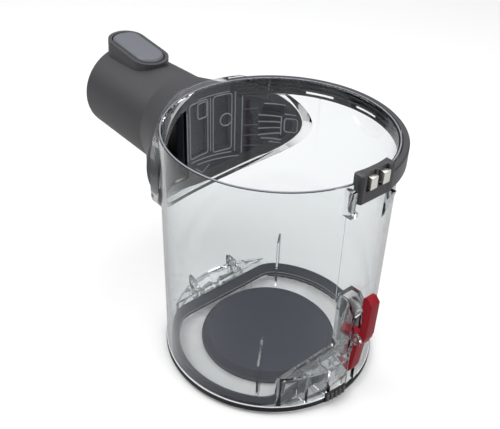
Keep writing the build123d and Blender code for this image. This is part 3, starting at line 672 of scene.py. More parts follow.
@dataclass(frozen=True)
class EyeWall(Skin):
    """Side of the eye-shaped saddle or of its border: a slightly turned elliptic cylinder along the tube.

    Args:
        grow: Distance in millimetres by which the outline lies outside the saddle's own.
        half_width: Half width of the saddle's outline.
        half_height: Half height of it.
        height: Height of its middle.
        tilt: Turn of the outline in degrees.
        slack: How far a facet may lie off the surface.
        touch: How far a settled vertex may lie off it.
    """

    grow: float
    half_width: float = 48.8
    half_height: float = 28.8
    height: float = 107.4
    tilt: float = 4.8
    slack: float = 0.15
    touch: float = 0.03

    def level(self, spot: Vector) -> float:
        """Work out the size of a vertex's place relative to the outline.

        Args:
            spot: Place of the vertex in metres.

        Returns:
            The size, 1 on the surface.
        """
        turn = math.radians(self.tilt)
        across, up = spot.y / MM, spot.z / MM - self.height
        wide = across * math.cos(turn) + up * math.sin(turn)
        tall = up * math.cos(turn) - across * math.sin(turn)
        return math.hypot(wide / (self.half_width + self.grow), tall / (self.half_height + self.grow))

    def settle(self, spot: Vector) -> Vector | None:
        """Bring a vertex of the side onto the smooth surface.

        Args:
            spot: Place of the vertex in metres.

        Returns:
            Its new place, or None for a vertex that doesn't belong to the surface.
        """
        level = self.level(spot)
        if spot.x > 0.0 or abs(level - 1.0) * self.half_height > self.slack:
            return None
        return Vector((spot.x, spot.y / level, self.height * MM + (spot.z - self.height * MM) / level))

    def holds(self, spot: Vector) -> bool:
        """Whether a settled vertex lies on the surface."""
        return spot.x < 0.0 and abs(self.level(spot) - 1.0) * self.half_height < self.touch


class Growth:
    """Geometry Nodes tree with named inputs that grows one mesh."""

    CORNER_POINTS = 6

    def __init__(self, name: str, **inputs: float) -> None:
        """Start the tree.

        Args:
            name: Name of the tree.
            **inputs: Usual values of its inputs; a whole number makes a counting input.
        """
        self.tree = bpy.data.node_groups.new(name, "GeometryNodeTree")
        face = self.tree.interface
        face.new_socket("Geometry", in_out="INPUT", socket_type="NodeSocketGeometry")
        self.keys: dict[str, str] = {}
        for label, value in inputs.items():
            kind = "NodeSocketInt" if isinstance(value, int) else "NodeSocketFloat"
            socket = face.new_socket(label, in_out="INPUT", socket_type=kind)
            socket.default_value = value
            self.keys[label] = socket.identifier
        dye = face.new_socket("Material", in_out="INPUT", socket_type="NodeSocketMaterial")
        self.keys["Material"] = dye.identifier
        face.new_socket("Geometry", in_out="OUTPUT", socket_type="NodeSocketGeometry")
        self.given = self.tree.nodes.new("NodeGroupInput").outputs

    def add(self, kind: str, mode: str = "", **inputs: object) -> bpy.types.Node:
        """Add a node as node_at does, by its type name without the GeometryNode prefix."""
        return node_at(self.tree, "GeometryNode" + kind, mode, **inputs)

    def rounded_path(self) -> bpy.types.NodeSocket:
        """Round the corners of the path that feeds the tree.

        Returns:
            The rounded curve.
        """
        bent = self.add(
            "FilletCurve",
            "POLY",
            Curve=self.given["Geometry"],
            Radius=self.given["Corner"],
            Count=self.CORNER_POINTS,
            Limit_Radius=True,
        )
        return bent.outputs["Curve"]

    def wire(self, path: bpy.types.NodeSocket, radius: object, sides: object) -> bpy.types.NodeSocket:
        """Sweep a round section along a path.

        Args:
            path: Curve to follow.
            radius: Radius of the section.
            sides: Number of its sides.

        Returns:
            The swept mesh.
        """
        section = self.add("CurvePrimitiveCircle", "RADIUS", Resolution=sides, Radius=radius)
        swept = self.add("CurveToMesh", Curve=path, Profile_Curve=section.outputs["Curve"], Fill_Caps=True)
        return self.add("SetShadeSmooth", Geometry=swept.outputs["Mesh"]).outputs["Geometry"]

    def close(self, shape: bpy.types.NodeSocket) -> None:
        """End the tree with real geometry and its material.

        Args:
            shape: What the tree has grown.
        """
        real = self.add("RealizeInstances", Geometry=shape)
        dyed = self.add("SetMaterial", Geometry=real.outputs["Geometry"], Material=self.given["Material"])
        out = self.tree.nodes.new("NodeGroupOutput")
        self.tree.links.new(dyed.outputs["Geometry"], out.inputs["Geometry"])

    def grow(self, name: str, source: bpy.types.ID, **values: object) -> bpy.types.Object:
        """Grow the tree on a curve or mesh and keep the result as a plain mesh.

        Args:
            name: Name of the piece.
            source: Curve or mesh that feeds the tree.
            **values: Values of the tree's inputs.

        Returns:
            The grown piece.
        """
        carrier = linked(name + "_path", source)
        growth = carrier.modifiers.new(name, "NODES")
        growth.node_group = self.tree
        for label, value in values.items():
            growth[self.keys[label]] = value
        graph = bpy.context.evaluated_depsgraph_get()
        mesh = bpy.data.meshes.new_from_object(carrier.evaluated_get(graph))
        mesh.name = name
        bpy.data.objects.remove(carrier)
        return linked(name, mesh)


class Sweep(Growth):
    """Round section along a path with rounded corners: leads, edges and lips."""

    def __init__(self) -> None:
        """Build the tree."""
        super().__init__("Sweep", Radius=0.0006, Corner=0.001, Sides=12)
        self.close(self.wire(self.rounded_path(), self.given["Radius"], self.given["Sides"]))


class WallBead(Growth):
    """Round bead on the bin wall along a path that is drawn flat: x runs round the wall, y runs up."""

    def __init__(self) -> None:
        """Build the tree."""
        super().__init__("WallBead", Wall=0.0588, Radius=0.0004, Corner=0.002, Step=0.0008, Sides=10)
        fine = self.add("ResampleCurve", "LENGTH", Curve=self.rounded_path(), Length=self.given["Step"])
        tree = self.tree
        flat = node_at(tree, "ShaderNodeSeparateXYZ", Vector=self.add("InputPosition").outputs["Position"])
        wall = self.given["Wall"]
        turn = math_at(tree, "DIVIDE", flat.outputs["X"], wall)
        spot = node_at(
            tree,
            "ShaderNodeCombineXYZ",
            X=math_at(tree, "MULTIPLY", math_at(tree, "COSINE", turn), wall),
            Y=math_at(tree, "MULTIPLY", math_at(tree, "SINE", turn), wall),
            Z=flat.outputs["Y"],
        )
        laid = self.add("SetPosition", Geometry=fine.outputs["Curve"], Position=spot.outputs["Vector"])
        self.close(self.wire(laid.outputs["Geometry"], self.given["Radius"], self.given["Sides"]))


class Coil(Growth):
    """Coil spring whose end turns lie close together."""

    def __init__(self) -> None:
        """Build the tree."""
        super().__init__("Coil", Radius=0.004, Height=0.004, Wire=0.0003, Turns=3.0, Steps=40, Sides=10)
        spiral = self.add(
            "CurveSpiral",
            Resolution=self.given["Steps"],
            Rotations=self.given["Turns"],
            Start_Radius=self.given["Radius"],
            End_Radius=self.given["Radius"],
            Height=0.0,
        )
        share = self.add("SplineParameter").outputs["Factor"]
        eased = node_at(self.tree, "ShaderNodeMapRange", Value=share)
        eased.interpolation_type = "SMOOTHSTEP"
        climb = math_at(self.tree, "MULTIPLY", eased.outputs["Result"], self.given["Height"])
        rise = node_at(self.tree, "ShaderNodeCombineXYZ", Z=climb)
        risen = self.add("SetPosition", Geometry=spiral.outputs["Curve"], Offset=rise.outputs["Vector"])
        self.close(self.wire(risen.outputs["Geometry"], self.given["Wire"], self.given["Sides"]))


class RidgeRow(Growth):
    """Row of upright round ridges along an arc about the bin axis."""

    def __init__(self) -> None:
        """Build the tree."""
        place = {"Wall": 0.06, "Start": 0.0, "Span": 0.2, "Low": 0.003, "High": 0.008}
        super().__init__("RidgeRow", **place, Radius=0.0007, Count=5, Sides=10)
        row = self.add(
            "CurveArc",
            "RADIUS",
            Resolution=self.given["Count"],
            Radius=self.given["Wall"],
            Start_Angle=self.given["Start"],
            Sweep_Angle=self.given["Span"],
        )
        spots = self.add("CurveToPoints", "EVALUATED", Curve=row.outputs["Curve"])
        low = node_at(self.tree, "ShaderNodeCombineXYZ", Z=self.given["Low"]).outputs["Vector"]
        high = node_at(self.tree, "ShaderNodeCombineXYZ", Z=self.given["High"]).outputs["Vector"]
        upright = self.add("CurvePrimitiveLine", "POINTS", Start=low, End=high)
        ridge = self.wire(upright.outputs["Curve"], self.given["Radius"], self.given["Sides"])
        ridges = self.add("InstanceOnPoints", Points=spots.outputs["Points"], Instance=ridge)
        self.close(ridges.outputs["Instances"])


class Workshop:
    """Makes materials once and turns shapes into pieces of the part."""

    SHARP = 35.0  # Angle in degrees from which on an edge is sharp.
    FINE_SHARP = 24.0  # The same for a piece with smooth walls.
    FLAT = 0.3  # Angle in degrees up to which two faces are one flat face.
    MERGE = 2e-6  # Distance in metres within which a solid's vertices are one.
    FINE_MERGE = 4e-6  # The same after the fine cuts.
    CUT_SNAP = 1e-6  # Distance in metres within which a vertex lies on a cut.
    ROUNDS = 3  # How often a vertex is brought onto each of its surfaces.
    FACING = 0.9  # How well a face has to agree with its surface's direction.

    def __init__(self) -> None:
        """Prepare the shared shader group, the growth trees and the material store."""
        self.skin = MouldedSkin()
        self.sweep = Sweep()
        self.bead = WallBead()
        self.coil = Coil()
        self.ridges = RidgeRow()
        self.store: dict[Finish, bpy.types.Material] = {}

    def finish(self, finish: Finish) -> bpy.types.Material:
        """Look up the material of a finish, which is made at its first use.

        Args:
            finish: The finish.

        Returns:
            Its material.
        """
        if finish not in self.store:
            self.store[finish] = finish.value.material(self.skin)
        return self.store[finish]

    def solid_copy(self, node: str) -> bpy.types.Object:
        """Copy a solid with merged vertices and whole flat faces.

        Args:
            node: Name of the CAD node.

        Returns:
            The new object.
        """
        work = bmesh.new()
        work.from_mesh(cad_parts[node].data)
        bmesh.ops.remove_doubles(work, verts=work.verts, dist=self.MERGE)
        flat = math.radians(self.FLAT)
        bmesh.ops.dissolve_limit(work, angle_limit=flat, verts=work.verts, edges=work.edges)
        return linked_mesh(node + "_skin", work)

    def shade(self, piece: bpy.types.Object, sharp: float = SHARP) -> None:
        """Smooth a piece apart from the edges that are sharper than an angle in degrees."""
        piece.data.polygons.foreach_set("use_smooth", [True] * len(piece.data.polygons))
        piece.data.set_sharp_from_angle(angle=math.radians(sharp))

    def bevel(self, piece: bpy.types.Object, width: float, steps: int = 2) -> None:
        """Round the sharp edges of a piece.

        Args:
            piece: The piece.
            width: Width of the rounding in millimetres.
            steps: Segments of each rounded edge.
        """
        edge = piece.modifiers.new("edges", "BEVEL")
        edge.limit_method = "ANGLE"
        edge.angle_limit = math.radians(self.SHARP)
        edge.width = width * MM
        edge.segments = steps
        edge.use_clamp_overlap = True
        self.apply(piece)
        self.shade(piece)

    def carve(self, piece: bpy.types.Object, boxes: Iterable[Box]) -> None:
        """Cut boxes out of a piece.

        Args:
            piece: The piece.
            boxes: Lowest and highest corners of the boxes in millimetres.
        """
        for box in boxes:
            work = bmesh.new()
            add_box(work, box)
            cutter = linked_mesh("cutter", work)
            cut = piece.modifiers.new("cut", "BOOLEAN")
            cut.operation = "DIFFERENCE"
            cut.solver = "EXACT"
            cut.object = cutter
            self.apply(piece)
            bpy.data.objects.remove(cutter)

    def apply(self, piece: bpy.types.Object) -> None:
        """Apply a piece's modifiers to its mesh.

        Args:
            piece: The piece.
        """
        graph = bpy.context.evaluated_depsgraph_get()
        mesh = bpy.data.meshes.new_from_object(piece.evaluated_get(graph))
        piece.modifiers.clear()
        old = piece.data
        piece.data = mesh
        bpy.data.meshes.remove(old)

    def refine(self, piece: bpy.types.Object, planes: Iterable[Plane], skins: Sequence[Skin]) -> None:
        """Cut a piece finely and bring its facets onto smooth surfaces with exact normals.

        Args:
            piece: The piece.
            planes: Points and directions of the cutting planes, in metres.
            skins: Surfaces that the piece's walls follow.
        """
        work = bmesh.new()
        work.from_mesh(piece.data)
        for point, across in planes:
            parts = [*work.verts, *work.edges, *work.faces]
            bmesh.ops.bisect_plane(work, geom=parts, dist=self.CUT_SNAP, plane_co=point, plane_no=across)
        for vert in work.verts:
            homes = [skin for skin in skins if skin.settle(vert.co) is not None]
            for skin in homes * self.ROUNDS:
                vert.co = skin.settle(vert.co) or vert.co
        bmesh.ops.remove_doubles(work, verts=work.verts, dist=self.FINE_MERGE)
        work.to_mesh(piece.data)
        work.free()
        self.shade(piece, self.FINE_SHARP)
        self.set_normals(piece.data, skins)

    def set_normals(self, mesh: bpy.types.Mesh, skins: Sequence[Skin]) -> None:
        """Give the faces that lie on smooth surfaces the exact normals of those.

        Args:
            mesh: Mesh of the piece.
            skins: The surfaces.
        """
        normals = [corner.vector.copy() for corner in mesh.corner_normals]
        homes = [{skin for skin in skins if skin.holds(vert.co)} for vert in mesh.vertices]
        for polygon in mesh.polygons:
            for skin in set.intersection(*(homes[index] for index in polygon.vertices)):
                for loop, index in zip(polygon.loop_indices, polygon.vertices):
                    outward = skin.outward(mesh.vertices[index].co)
                    facing = outward.dot(polygon.normal)
                    if abs(facing) > self.FACING:
                        normals[loop] = outward if facing > 0.0 else -outward
        mesh.normals_split_custom_set(normals)

    def path(self, name: str, lines: Iterable[Sequence[Vector]], closed: bool = False) -> bpy.types.Curve:
        """Make a curve of straight runs.

        Args:
            name: Name of the curve.
            lines: Points of each line in millimetres.
            closed: Whether each line ends where it starts.

        Returns:
            The curve.
        """
        curve = bpy.data.curves.new(name, "CURVE")
        curve.dimensions = "3D"
        for line in lines:
            spline = curve.splines.new("POLY")
            spline.points.add(len(line) - 1)
            for point, spot in zip(spline.points, line):
                point.co = (*(spot * MM), 1.0)
            spline.use_cyclic_u = closed
        return curve

    def dress(self, piece: bpy.types.Object, finish: Finish, body: Body, *nodes: str) -> None:
        """Give a piece its finish, its body and the CAD nodes that it stands for.

        Args:
            piece: The piece.
            finish: Its finish.
            body: The body that it rides on.
            *nodes: CAD nodes that it replaces.
        """
        piece.data.materials.clear()
        piece.data.materials.append(self.finish(finish))
        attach(piece, body.value)
        if nodes:
            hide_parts(*nodes)
        LOG.info("%s rides on %s", piece.name, body.value)

    def plain(self, node: str, finish: Finish, body: Body, rounding: float, steps: int = 2) -> None:
        """Build and dress a piece that is its solid with rounded edges.

        Args:
            node: Name of the CAD node.
            finish: Finish of the piece.
            body: The body that it rides on.
            rounding: Width of the rounding in millimetres.
            steps: Segments of each rounded edge.
        """
        piece = self.solid_copy(node)
        self.bevel(piece, rounding, steps)
        self.dress(piece, finish, body, node)

    def lay(
        self,
        growth: Growth,
        name: str,
        lines: Iterable[Sequence[Vector]],
        finish: Finish,
        body: Body,
        *nodes: str,
        closed: bool = False,
        **values: float,
    ) -> None:
        """Grow a piece along lines and dress it.

        Args:
            growth: Tree that grows it.
            name: Name of the piece.
            lines: Points of each line in millimetres.
            finish: Finish of the piece.
            body: The body that it rides on.
            *nodes: CAD nodes that it replaces.
            closed: Whether each line ends where it starts.
            **values: Values of the tree's inputs.
        """
        route = self.path(name + "_route", lines, closed)
        piece = growth.grow(name, route, Material=self.finish(finish), **values)
        self.dress(piece, finish, body, *nodes)


@dataclass(frozen=True)
class CoilSpring:
    """Steel return coil that a joint squashes.

    Args:
        name: Name of the piece.
        node: CAD node that it replaces.
        joint: Joint that squashes it; not used.
        radius: Radius of the coil in millimetres.
        room: Height of the coil at rest.
        wire: Radius of its wire.
        turns: Number of turns.
        keep: Share of its height that is left at the end of the joint's range; not used.
    """

    name: str
    node: str
    joint: str
    radius: float
    room: float
    wire: float
    turns: float
    keep: float

    def build(self, shop: Workshop, place: Vector, tilt: float = 0.0) -> None:
        """Wind and dress the coil.

        Args:
            shop: The workshop.
            place: Place of its foot in millimetres.
            tilt: Lean of its axis about Y in degrees.
        """
        coil = shop.coil.grow(
            self.name,
            bpy.data.meshes.new(self.name + "_seed"),
            Radius=self.radius * MM,
            Height=self.room * MM,
            Wire=self.wire * MM,
            Turns=self.turns,
            Material=shop.finish(Finish.STEEL),
        )
        lean = math.radians(tilt)
        foot = place * MM
        coil.data.transform(Matrix.Translation(foot) @ Matrix.Rotation(lean, 4, "Y"))
        shop.dress(coil, Finish.STEEL, Body.BIN, self.node)
        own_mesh(coil)


@dataclass
class Assembly:
    """Group of pieces that is built in one go.

    Args:
        shop: Workshop that makes the pieces.
    """

    shop: Workshop

    def build(self) -> None:
        """Build and dress the pieces."""
        raise NotImplementedError


@dataclass
class BinShell(Assembly):
    """Clear bin: wall, inlet border, pockets, fins and ribs in one moulding.

    Args:
        radius: Outside radius of the wall in millimetres.
        bore: Inside radius.
        seat: Radius of the cyclone unit's seat at the mouth, drawn flush with the bore.
        border: Outside radius of the inlet's border.
        border_width: Width of that border round the saddle.
        border_gap: Gap between the border and the saddle.
        pad: Distance of the raised pad's face from the bin axis.
        panel: Radius of the thin panel that the pad becomes.
        rim_level: Height of the rim.
        rim_inset: Distance of the rim's round edge inside the wall's outside.
        rim_sweep: Angle in degrees up to which its points run.
        foot_level: Height of the edge at the wall's foot.
        foot_starts: Angles at which the two runs of that edge start.
        foot_sweep: Angle that each run takes up.
        edge_radius: Radius of the two edges.
        edge_steps: Number of straight steps in a run.
    """

    radius: float = 58.5
    bore: float = 56.5
    seat: float = 57.3
    border: float = 63.5
    border_width: float = 3.0
    border_gap: float = 0.25
    pad: float = 59.5
    panel: float = 58.85
    rim_level: float = 137.0
    rim_inset: float = 0.95
    rim_sweep: float = 357.0
    foot_level: float = 5.0
    foot_starts: Span = (-164.0, 14.0)
    foot_sweep: float = 150.0
    edge_radius: float = 0.4
    edge_steps: int = 119

    def build(self) -> None:
        """Build and dress the clear bin."""
        shell = self.shop.solid_copy("clear_bin")
        skins = (
            PadWall(self.pad, self.panel),
            RoundWall(self.radius, self.radius),
            RoundWall(self.bore, self.bore),
            RoundWall(self.seat, self.bore),
            RoundWall(self.border, self.border),
            EyeWall(self.border_width),
            EyeWall(self.border_gap),
        )
        self.shop.refine(shell, turning_cuts(), skins)
        self.shop.dress(shell, Finish.CLEAR, Body.BIN, "clear_bin")
        self.build_edges()

    def build_edges(self) -> None:
        """Lay the grey round edge of the rim, whose colour paints the line of light and shade at the clear
        rim, and the pale edge at the wall's foot, whose colour paints the bright line of light there.
        """
        rim = arc(self.radius - self.rim_inset, 0.0, self.rim_sweep, self.rim_level, self.edge_steps)
        foot = [
            arc(self.radius, start, start + self.foot_sweep, self.foot_level, self.edge_steps)
            for start in self.foot_starts
        ]
        sizes = {"Radius": self.edge_radius * MM, "Corner": CORNER * MM}
        self.shop.lay(self.shop.sweep, "painted_rim_line", [rim], Finish.PAINTED_RIM_LINE, Body.BIN, closed=True, **sizes)
        self.shop.lay(self.shop.sweep, "painted_foot_highlight", foot, Finish.PAINTED_FOOT_HIGHLIGHT, Body.BIN, **sizes)


@dataclass(frozen=True)
class RibFrame:
    """Rounded frame of a bead on the wall.

    Args:
        left: Angle of its left side in degrees.
        right: Angle of its right side.
        low: Height of its foot in millimetres.
        high: Height of its top.
    """

    left: float
    right: float
    low: float
    high: float

    def corners(self) -> list[Span]:
        """Angles and heights of the frame's corners."""
        left, right = self.left, self.right
        return [(left, self.low), (right, self.low), (right, self.high), (left, self.high)]


@dataclass
class InletDuct(Assembly):
    """Dark inlet tube with its flare, the ribbed duct guide and the release button.

    Args:
        skin: Outside of the tube and flare.
        cut_step: Distance in millimetres between the fine cuts along the tube.
        cut_offset: Share of that distance by which the cuts miss the solid's own sections.
        turn_step: Angle in degrees between the fine cuts about the tube's axis.
        tube_round: Rounding of the tube's edges.
        guide_round: Rounding of the guide's edges.
        guide_face: Radius of the guide's face behind the clear wall.
        panel_angles: Angles of the guide's two panels.
        panel_halves: Half widths of the panels.
        panel_old: Lowest and highest level of the panels in the solid.
        panel_new: Levels that the photograph shows.
        panel_floors: Distance of the panels' floor from the bin axis in the solid and as drawn.
        bead_radius: Radius of the beads on the guide.
        bead_stand: Distance of their middle from the guide's face.
        bead_corner: Rounding of their corners.
        fan_count: Number of ribs that draw together towards the guide's nose.
        fan_angles: Angles at which they start and end.
        fan_levels: Heights between which they start.
        fan_pinch: Share of that spread that is left at their ends.
        frames: Rounded frames of the panels and of the small window at the nose.
        rails: Straight beads, each from an angle and height to another.
        dim_rails: Straight dim bands whose colour paints a soft sheen, given in the same way.
        ring: Angle, height and radius of the round bead.
        ring_steps: Number of its sides.
        boss_place: Middle of the button boss's top.
        boss_tilt: Lean of the boss towards the bin in degrees.
        button_round: Rounding of the button's edges.
        button_half: Half length of the button.
        button_wide: Half width of it.
        button_ease: Distance by which its sides are drawn in.
        button_skirt: Depth below the boss's top down to which they are.
        button_run: Length over which its top falls away at the mouth end.
        button_drop: Depth of that fall.
        button_curve: Curvature of that fall.
        coil: Coil under the button.
        coil_depth: Depth of the coil's foot below the boss's top.
    """

    skin: DuctSkin = DuctSkin()
    cut_step: float = 2.5
    cut_offset: float = 0.43
    turn_step: float = 4.0
    tube_round: float = 0.35
    guide_round: float = 0.25
    guide_face: float = 58.8
    panel_angles: Span = (186.5, 171.0)
    panel_halves: Span = (5.5, 4.5)
    panel_old: Span = (89.5, 122.5)
    panel_new: Span = (98.0, 128.5)
    panel_floors: Span = (63.5, 60.4)
    bead_radius: float = 0.42
    bead_stand: float = 0.15
    bead_corner: float = 1.6
    fan_count: int = 4
    fan_angles: Span = (149.0, 135.8)
    fan_levels: Span = (101.6, 114.4)
    fan_pinch: float = 0.8
    frames: tuple[RibFrame, ...] = (
        RibFrame(193.0, 179.8, 96.8, 129.6),
        RibFrame(176.2, 164.6, 95.2, 129.6),
        RibFrame(186.8, 180.4, 119.2, 128.4),
        RibFrame(134.2, 126.8, 103.9, 112.3),
    )
    rails: tuple[Rail, ...] = (
        (195.3, 97.0, 195.3, 126.0),
        (178.0, 97.0, 178.0, 129.6),
        (162.6, 93.0, 162.6, 130.0),
        (158.4, 91.0, 158.4, 127.0),
        (192.5, 94.6, 164.8, 92.8),
        (188.0, 91.6, 160.0, 89.4),
        (187.0, 130.9, 166.0, 130.9),
        (136.0, 101.8, 136.0, 113.2),
        (189.0, 89.6, 184.0, 85.0),
        (184.0, 85.0, 179.0, 88.6),
        (134.4, 115.0, 127.9, 114.8),
        (146.0, 121.4, 134.0, 120.6),
        (147.5, 99.6, 135.6, 98.6),
        (142.5, 97.2, 135.6, 96.6),
    )
    dim_rails: tuple[Rail, ...] = (
        (157.6, 118.4, 149.0, 118.6),
        (157.6, 108.5, 149.4, 108.2),
        (157.6, 102.0, 149.4, 101.8),
        (157.6, 95.6, 148.5, 94.8),
    )
    ring: Triple = (168.0, 114.0, 3.7)
    ring_steps: int = 24
    boss_place: Triple = (-123.8, 0.0, 137.8)
    boss_tilt: float = 6.7
    button_round: float = 0.45
    button_half: float = 20.4
    button_wide: float = 8.6
    button_ease: float = 0.3
    button_skirt: float = 3.0
    button_run: float = 9.0
    button_drop: float = 1.3
    button_curve: float = 1.5
    coil: CoilSpring = CoilSpring(
        "button_coil", "button_spring", "button_press", radius=4.4, room=3.5, wire=0.3, turns=2.5, keep=0.33
    )
    coil_depth: float = 7.7

    def build(self) -> None:
        """Build and dress the tube, the guide, the button and its coil."""
        self.build_tube()
        self.build_guide()
        self.build_ribs()
        self.build_button()

    def build_tube(self) -> None:
        """Build the tube with a smooth flare."""
        tube = self.shop.solid_copy("inlet_tube")
        self.shop.bevel(tube, self.tube_round)
        cuts: list[Plane] = []
        for index in range(round((self.skin.mouth - self.skin.end) / self.cut_step)):
            reach = self.skin.end + self.cut_step * (index + self.cut_offset)
            cuts.append((Vector((-reach * MM, 0, 0)), Vector((1, 0, 0))))
        axis = Vector((0, 0, self.skin.height * MM))
        for turn in half_turn(self.turn_step):
            cuts.append((axis, Vector((0, math.sin(turn), -math.cos(turn)))))
        self.shop.refine(tube, cuts, (self.skin, EyeWall(0.0)))
        self.shop.dress(tube, Finish.TUBE, Body.BIN, "inlet_tube")

    def build_guide(self) -> None:
        """Build the guide with shallow panels at the height of the photograph's."""
        guide = self.shop.solid_copy("duct_guide")
        for vert in guide.data.vertices:
            for angle, half in zip(self.panel_angles, self.panel_halves):
                self.shift_panel(vert, angle, half)
        self.shop.bevel(guide, self.guide_round)
        self.shop.dress(guide, Finish.GUIDE, Body.BIN, "duct_guide")

    def shift_panel(self, vert: bpy.types.MeshVertex, angle: float, half: float) -> None:
        """Move a vertex of a panel's pocket.

        Args:
            vert: Vertex of the guide.
            angle: Angle of the panel in degrees.
            half: Its half width in millimetres.
        """
        outward = polar(1.0, angle, 0.0)
        spot = vert.co / MM
        along = spot.dot(outward)
        across = spot.y * outward.x - spot.x * outward.y
        solid_floor, floor = self.panel_floors
        if abs(across) > half + NEAR or along > solid_floor + NEAR:
            return
        for old, new in zip(self.panel_old, self.panel_new):
            if abs(spot.z - old) < NEAR:
                vert.co.z = new * MM
        if abs(along - solid_floor) < NEAR:
            vert.co += outward * (floor - solid_floor) * MM

    def flat(self, angle: float, height: float) -> Vector:
        """Point of a path that is drawn flat for the wall."""
        return Vector((math.radians(angle) * self.guide_face, height, 0.0))

    def flat_lines(self, rails: Iterable[Rail]) -> list[list[Vector]]:
        """Flat paths of straight beads."""
        return [[self.flat(*rail[:2]), self.flat(*rail[2:])] for rail in rails]

    def fan(self) -> list[Rail]:
        """Work out the ribs that draw together towards the guide's nose.

        Returns:
            Start and end of each rib.
        """
        low, high = self.fan_levels
        middle = (low + high) / 2
        first, last = self.fan_angles
        starts = [low + (high - low) * index / (self.fan_count - 1) for index in range(self.fan_count)]
        return [(first, start, last, middle + (start - middle) * self.fan_pinch) for start in starts]

    def build_ribs(self) -> None:
        """Lay the beads of the guide: panel frames, ring, rails and fan, whose pale colour paints the
        highlights on the rib edges, and the dim bands.
        """
        loops = [[self.flat(*corner) for corner in rib.corners()] for rib in self.frames]
        angle, height, radius = self.ring
        middle = self.flat(angle, height)
        loops.append([middle + spot for spot in arc(radius, 0.0, 360.0, 0.0, self.ring_steps)[:-1]])
        for name, finish, lines, closed in (
            ("guide_frames", Finish.PAINTED_RIB_HIGHLIGHT, loops, True),
            ("guide_fan", Finish.PAINTED_RIB_HIGHLIGHT, self.flat_lines([*self.rails, *self.fan()]), False),
            ("guide_bands", Finish.PAINTED_RIB_SHEEN, self.flat_lines(self.dim_rails), False),
        ):
            self.shop.lay(
                self.shop.bead,
                name,
                lines,
                finish,
                Body.BIN,
                closed=closed,
                Wall=(self.guide_face + self.bead_stand) * MM,
                Radius=self.bead_radius * MM,
                Corner=self.bead_corner * MM,
            )

    def build_button(self) -> None:
        """Build the button, which falls away at its mouth end, and the coil under it."""
        button = self.shop.solid_copy("release_button")
        self.shop.bevel(button, self.button_round, steps=3)
        place = Vector(self.boss_place)
        tilt = math.radians(self.boss_tilt)
        along = Vector((math.cos(tilt), 0, -math.sin(tilt)))
        upward = Vector((math.sin(tilt), 0, math.cos(tilt)))
        for vert in button.data.vertices:
            local = vert.co / MM - place
            reach, height = local.dot(along), local.dot(upward)
            if height > -self.button_skirt:
                vert.co -= along * reach * self.button_ease / self.button_half * MM
                vert.co.y *= 1.0 - self.button_ease / self.button_wide
            if height > 0.0:
                share = max(0.0, self.button_run - self.button_half - reach) / self.button_run
                vert.co -= upward * self.button_drop * share**self.button_curve * MM
        self.shop.shade(button)
        self.shop.dress(button, Finish.BUTTON, Body.BUTTON, "release_button")
        self.coil.build(self.shop, place - upward * self.coil_depth, self.boss_tilt)


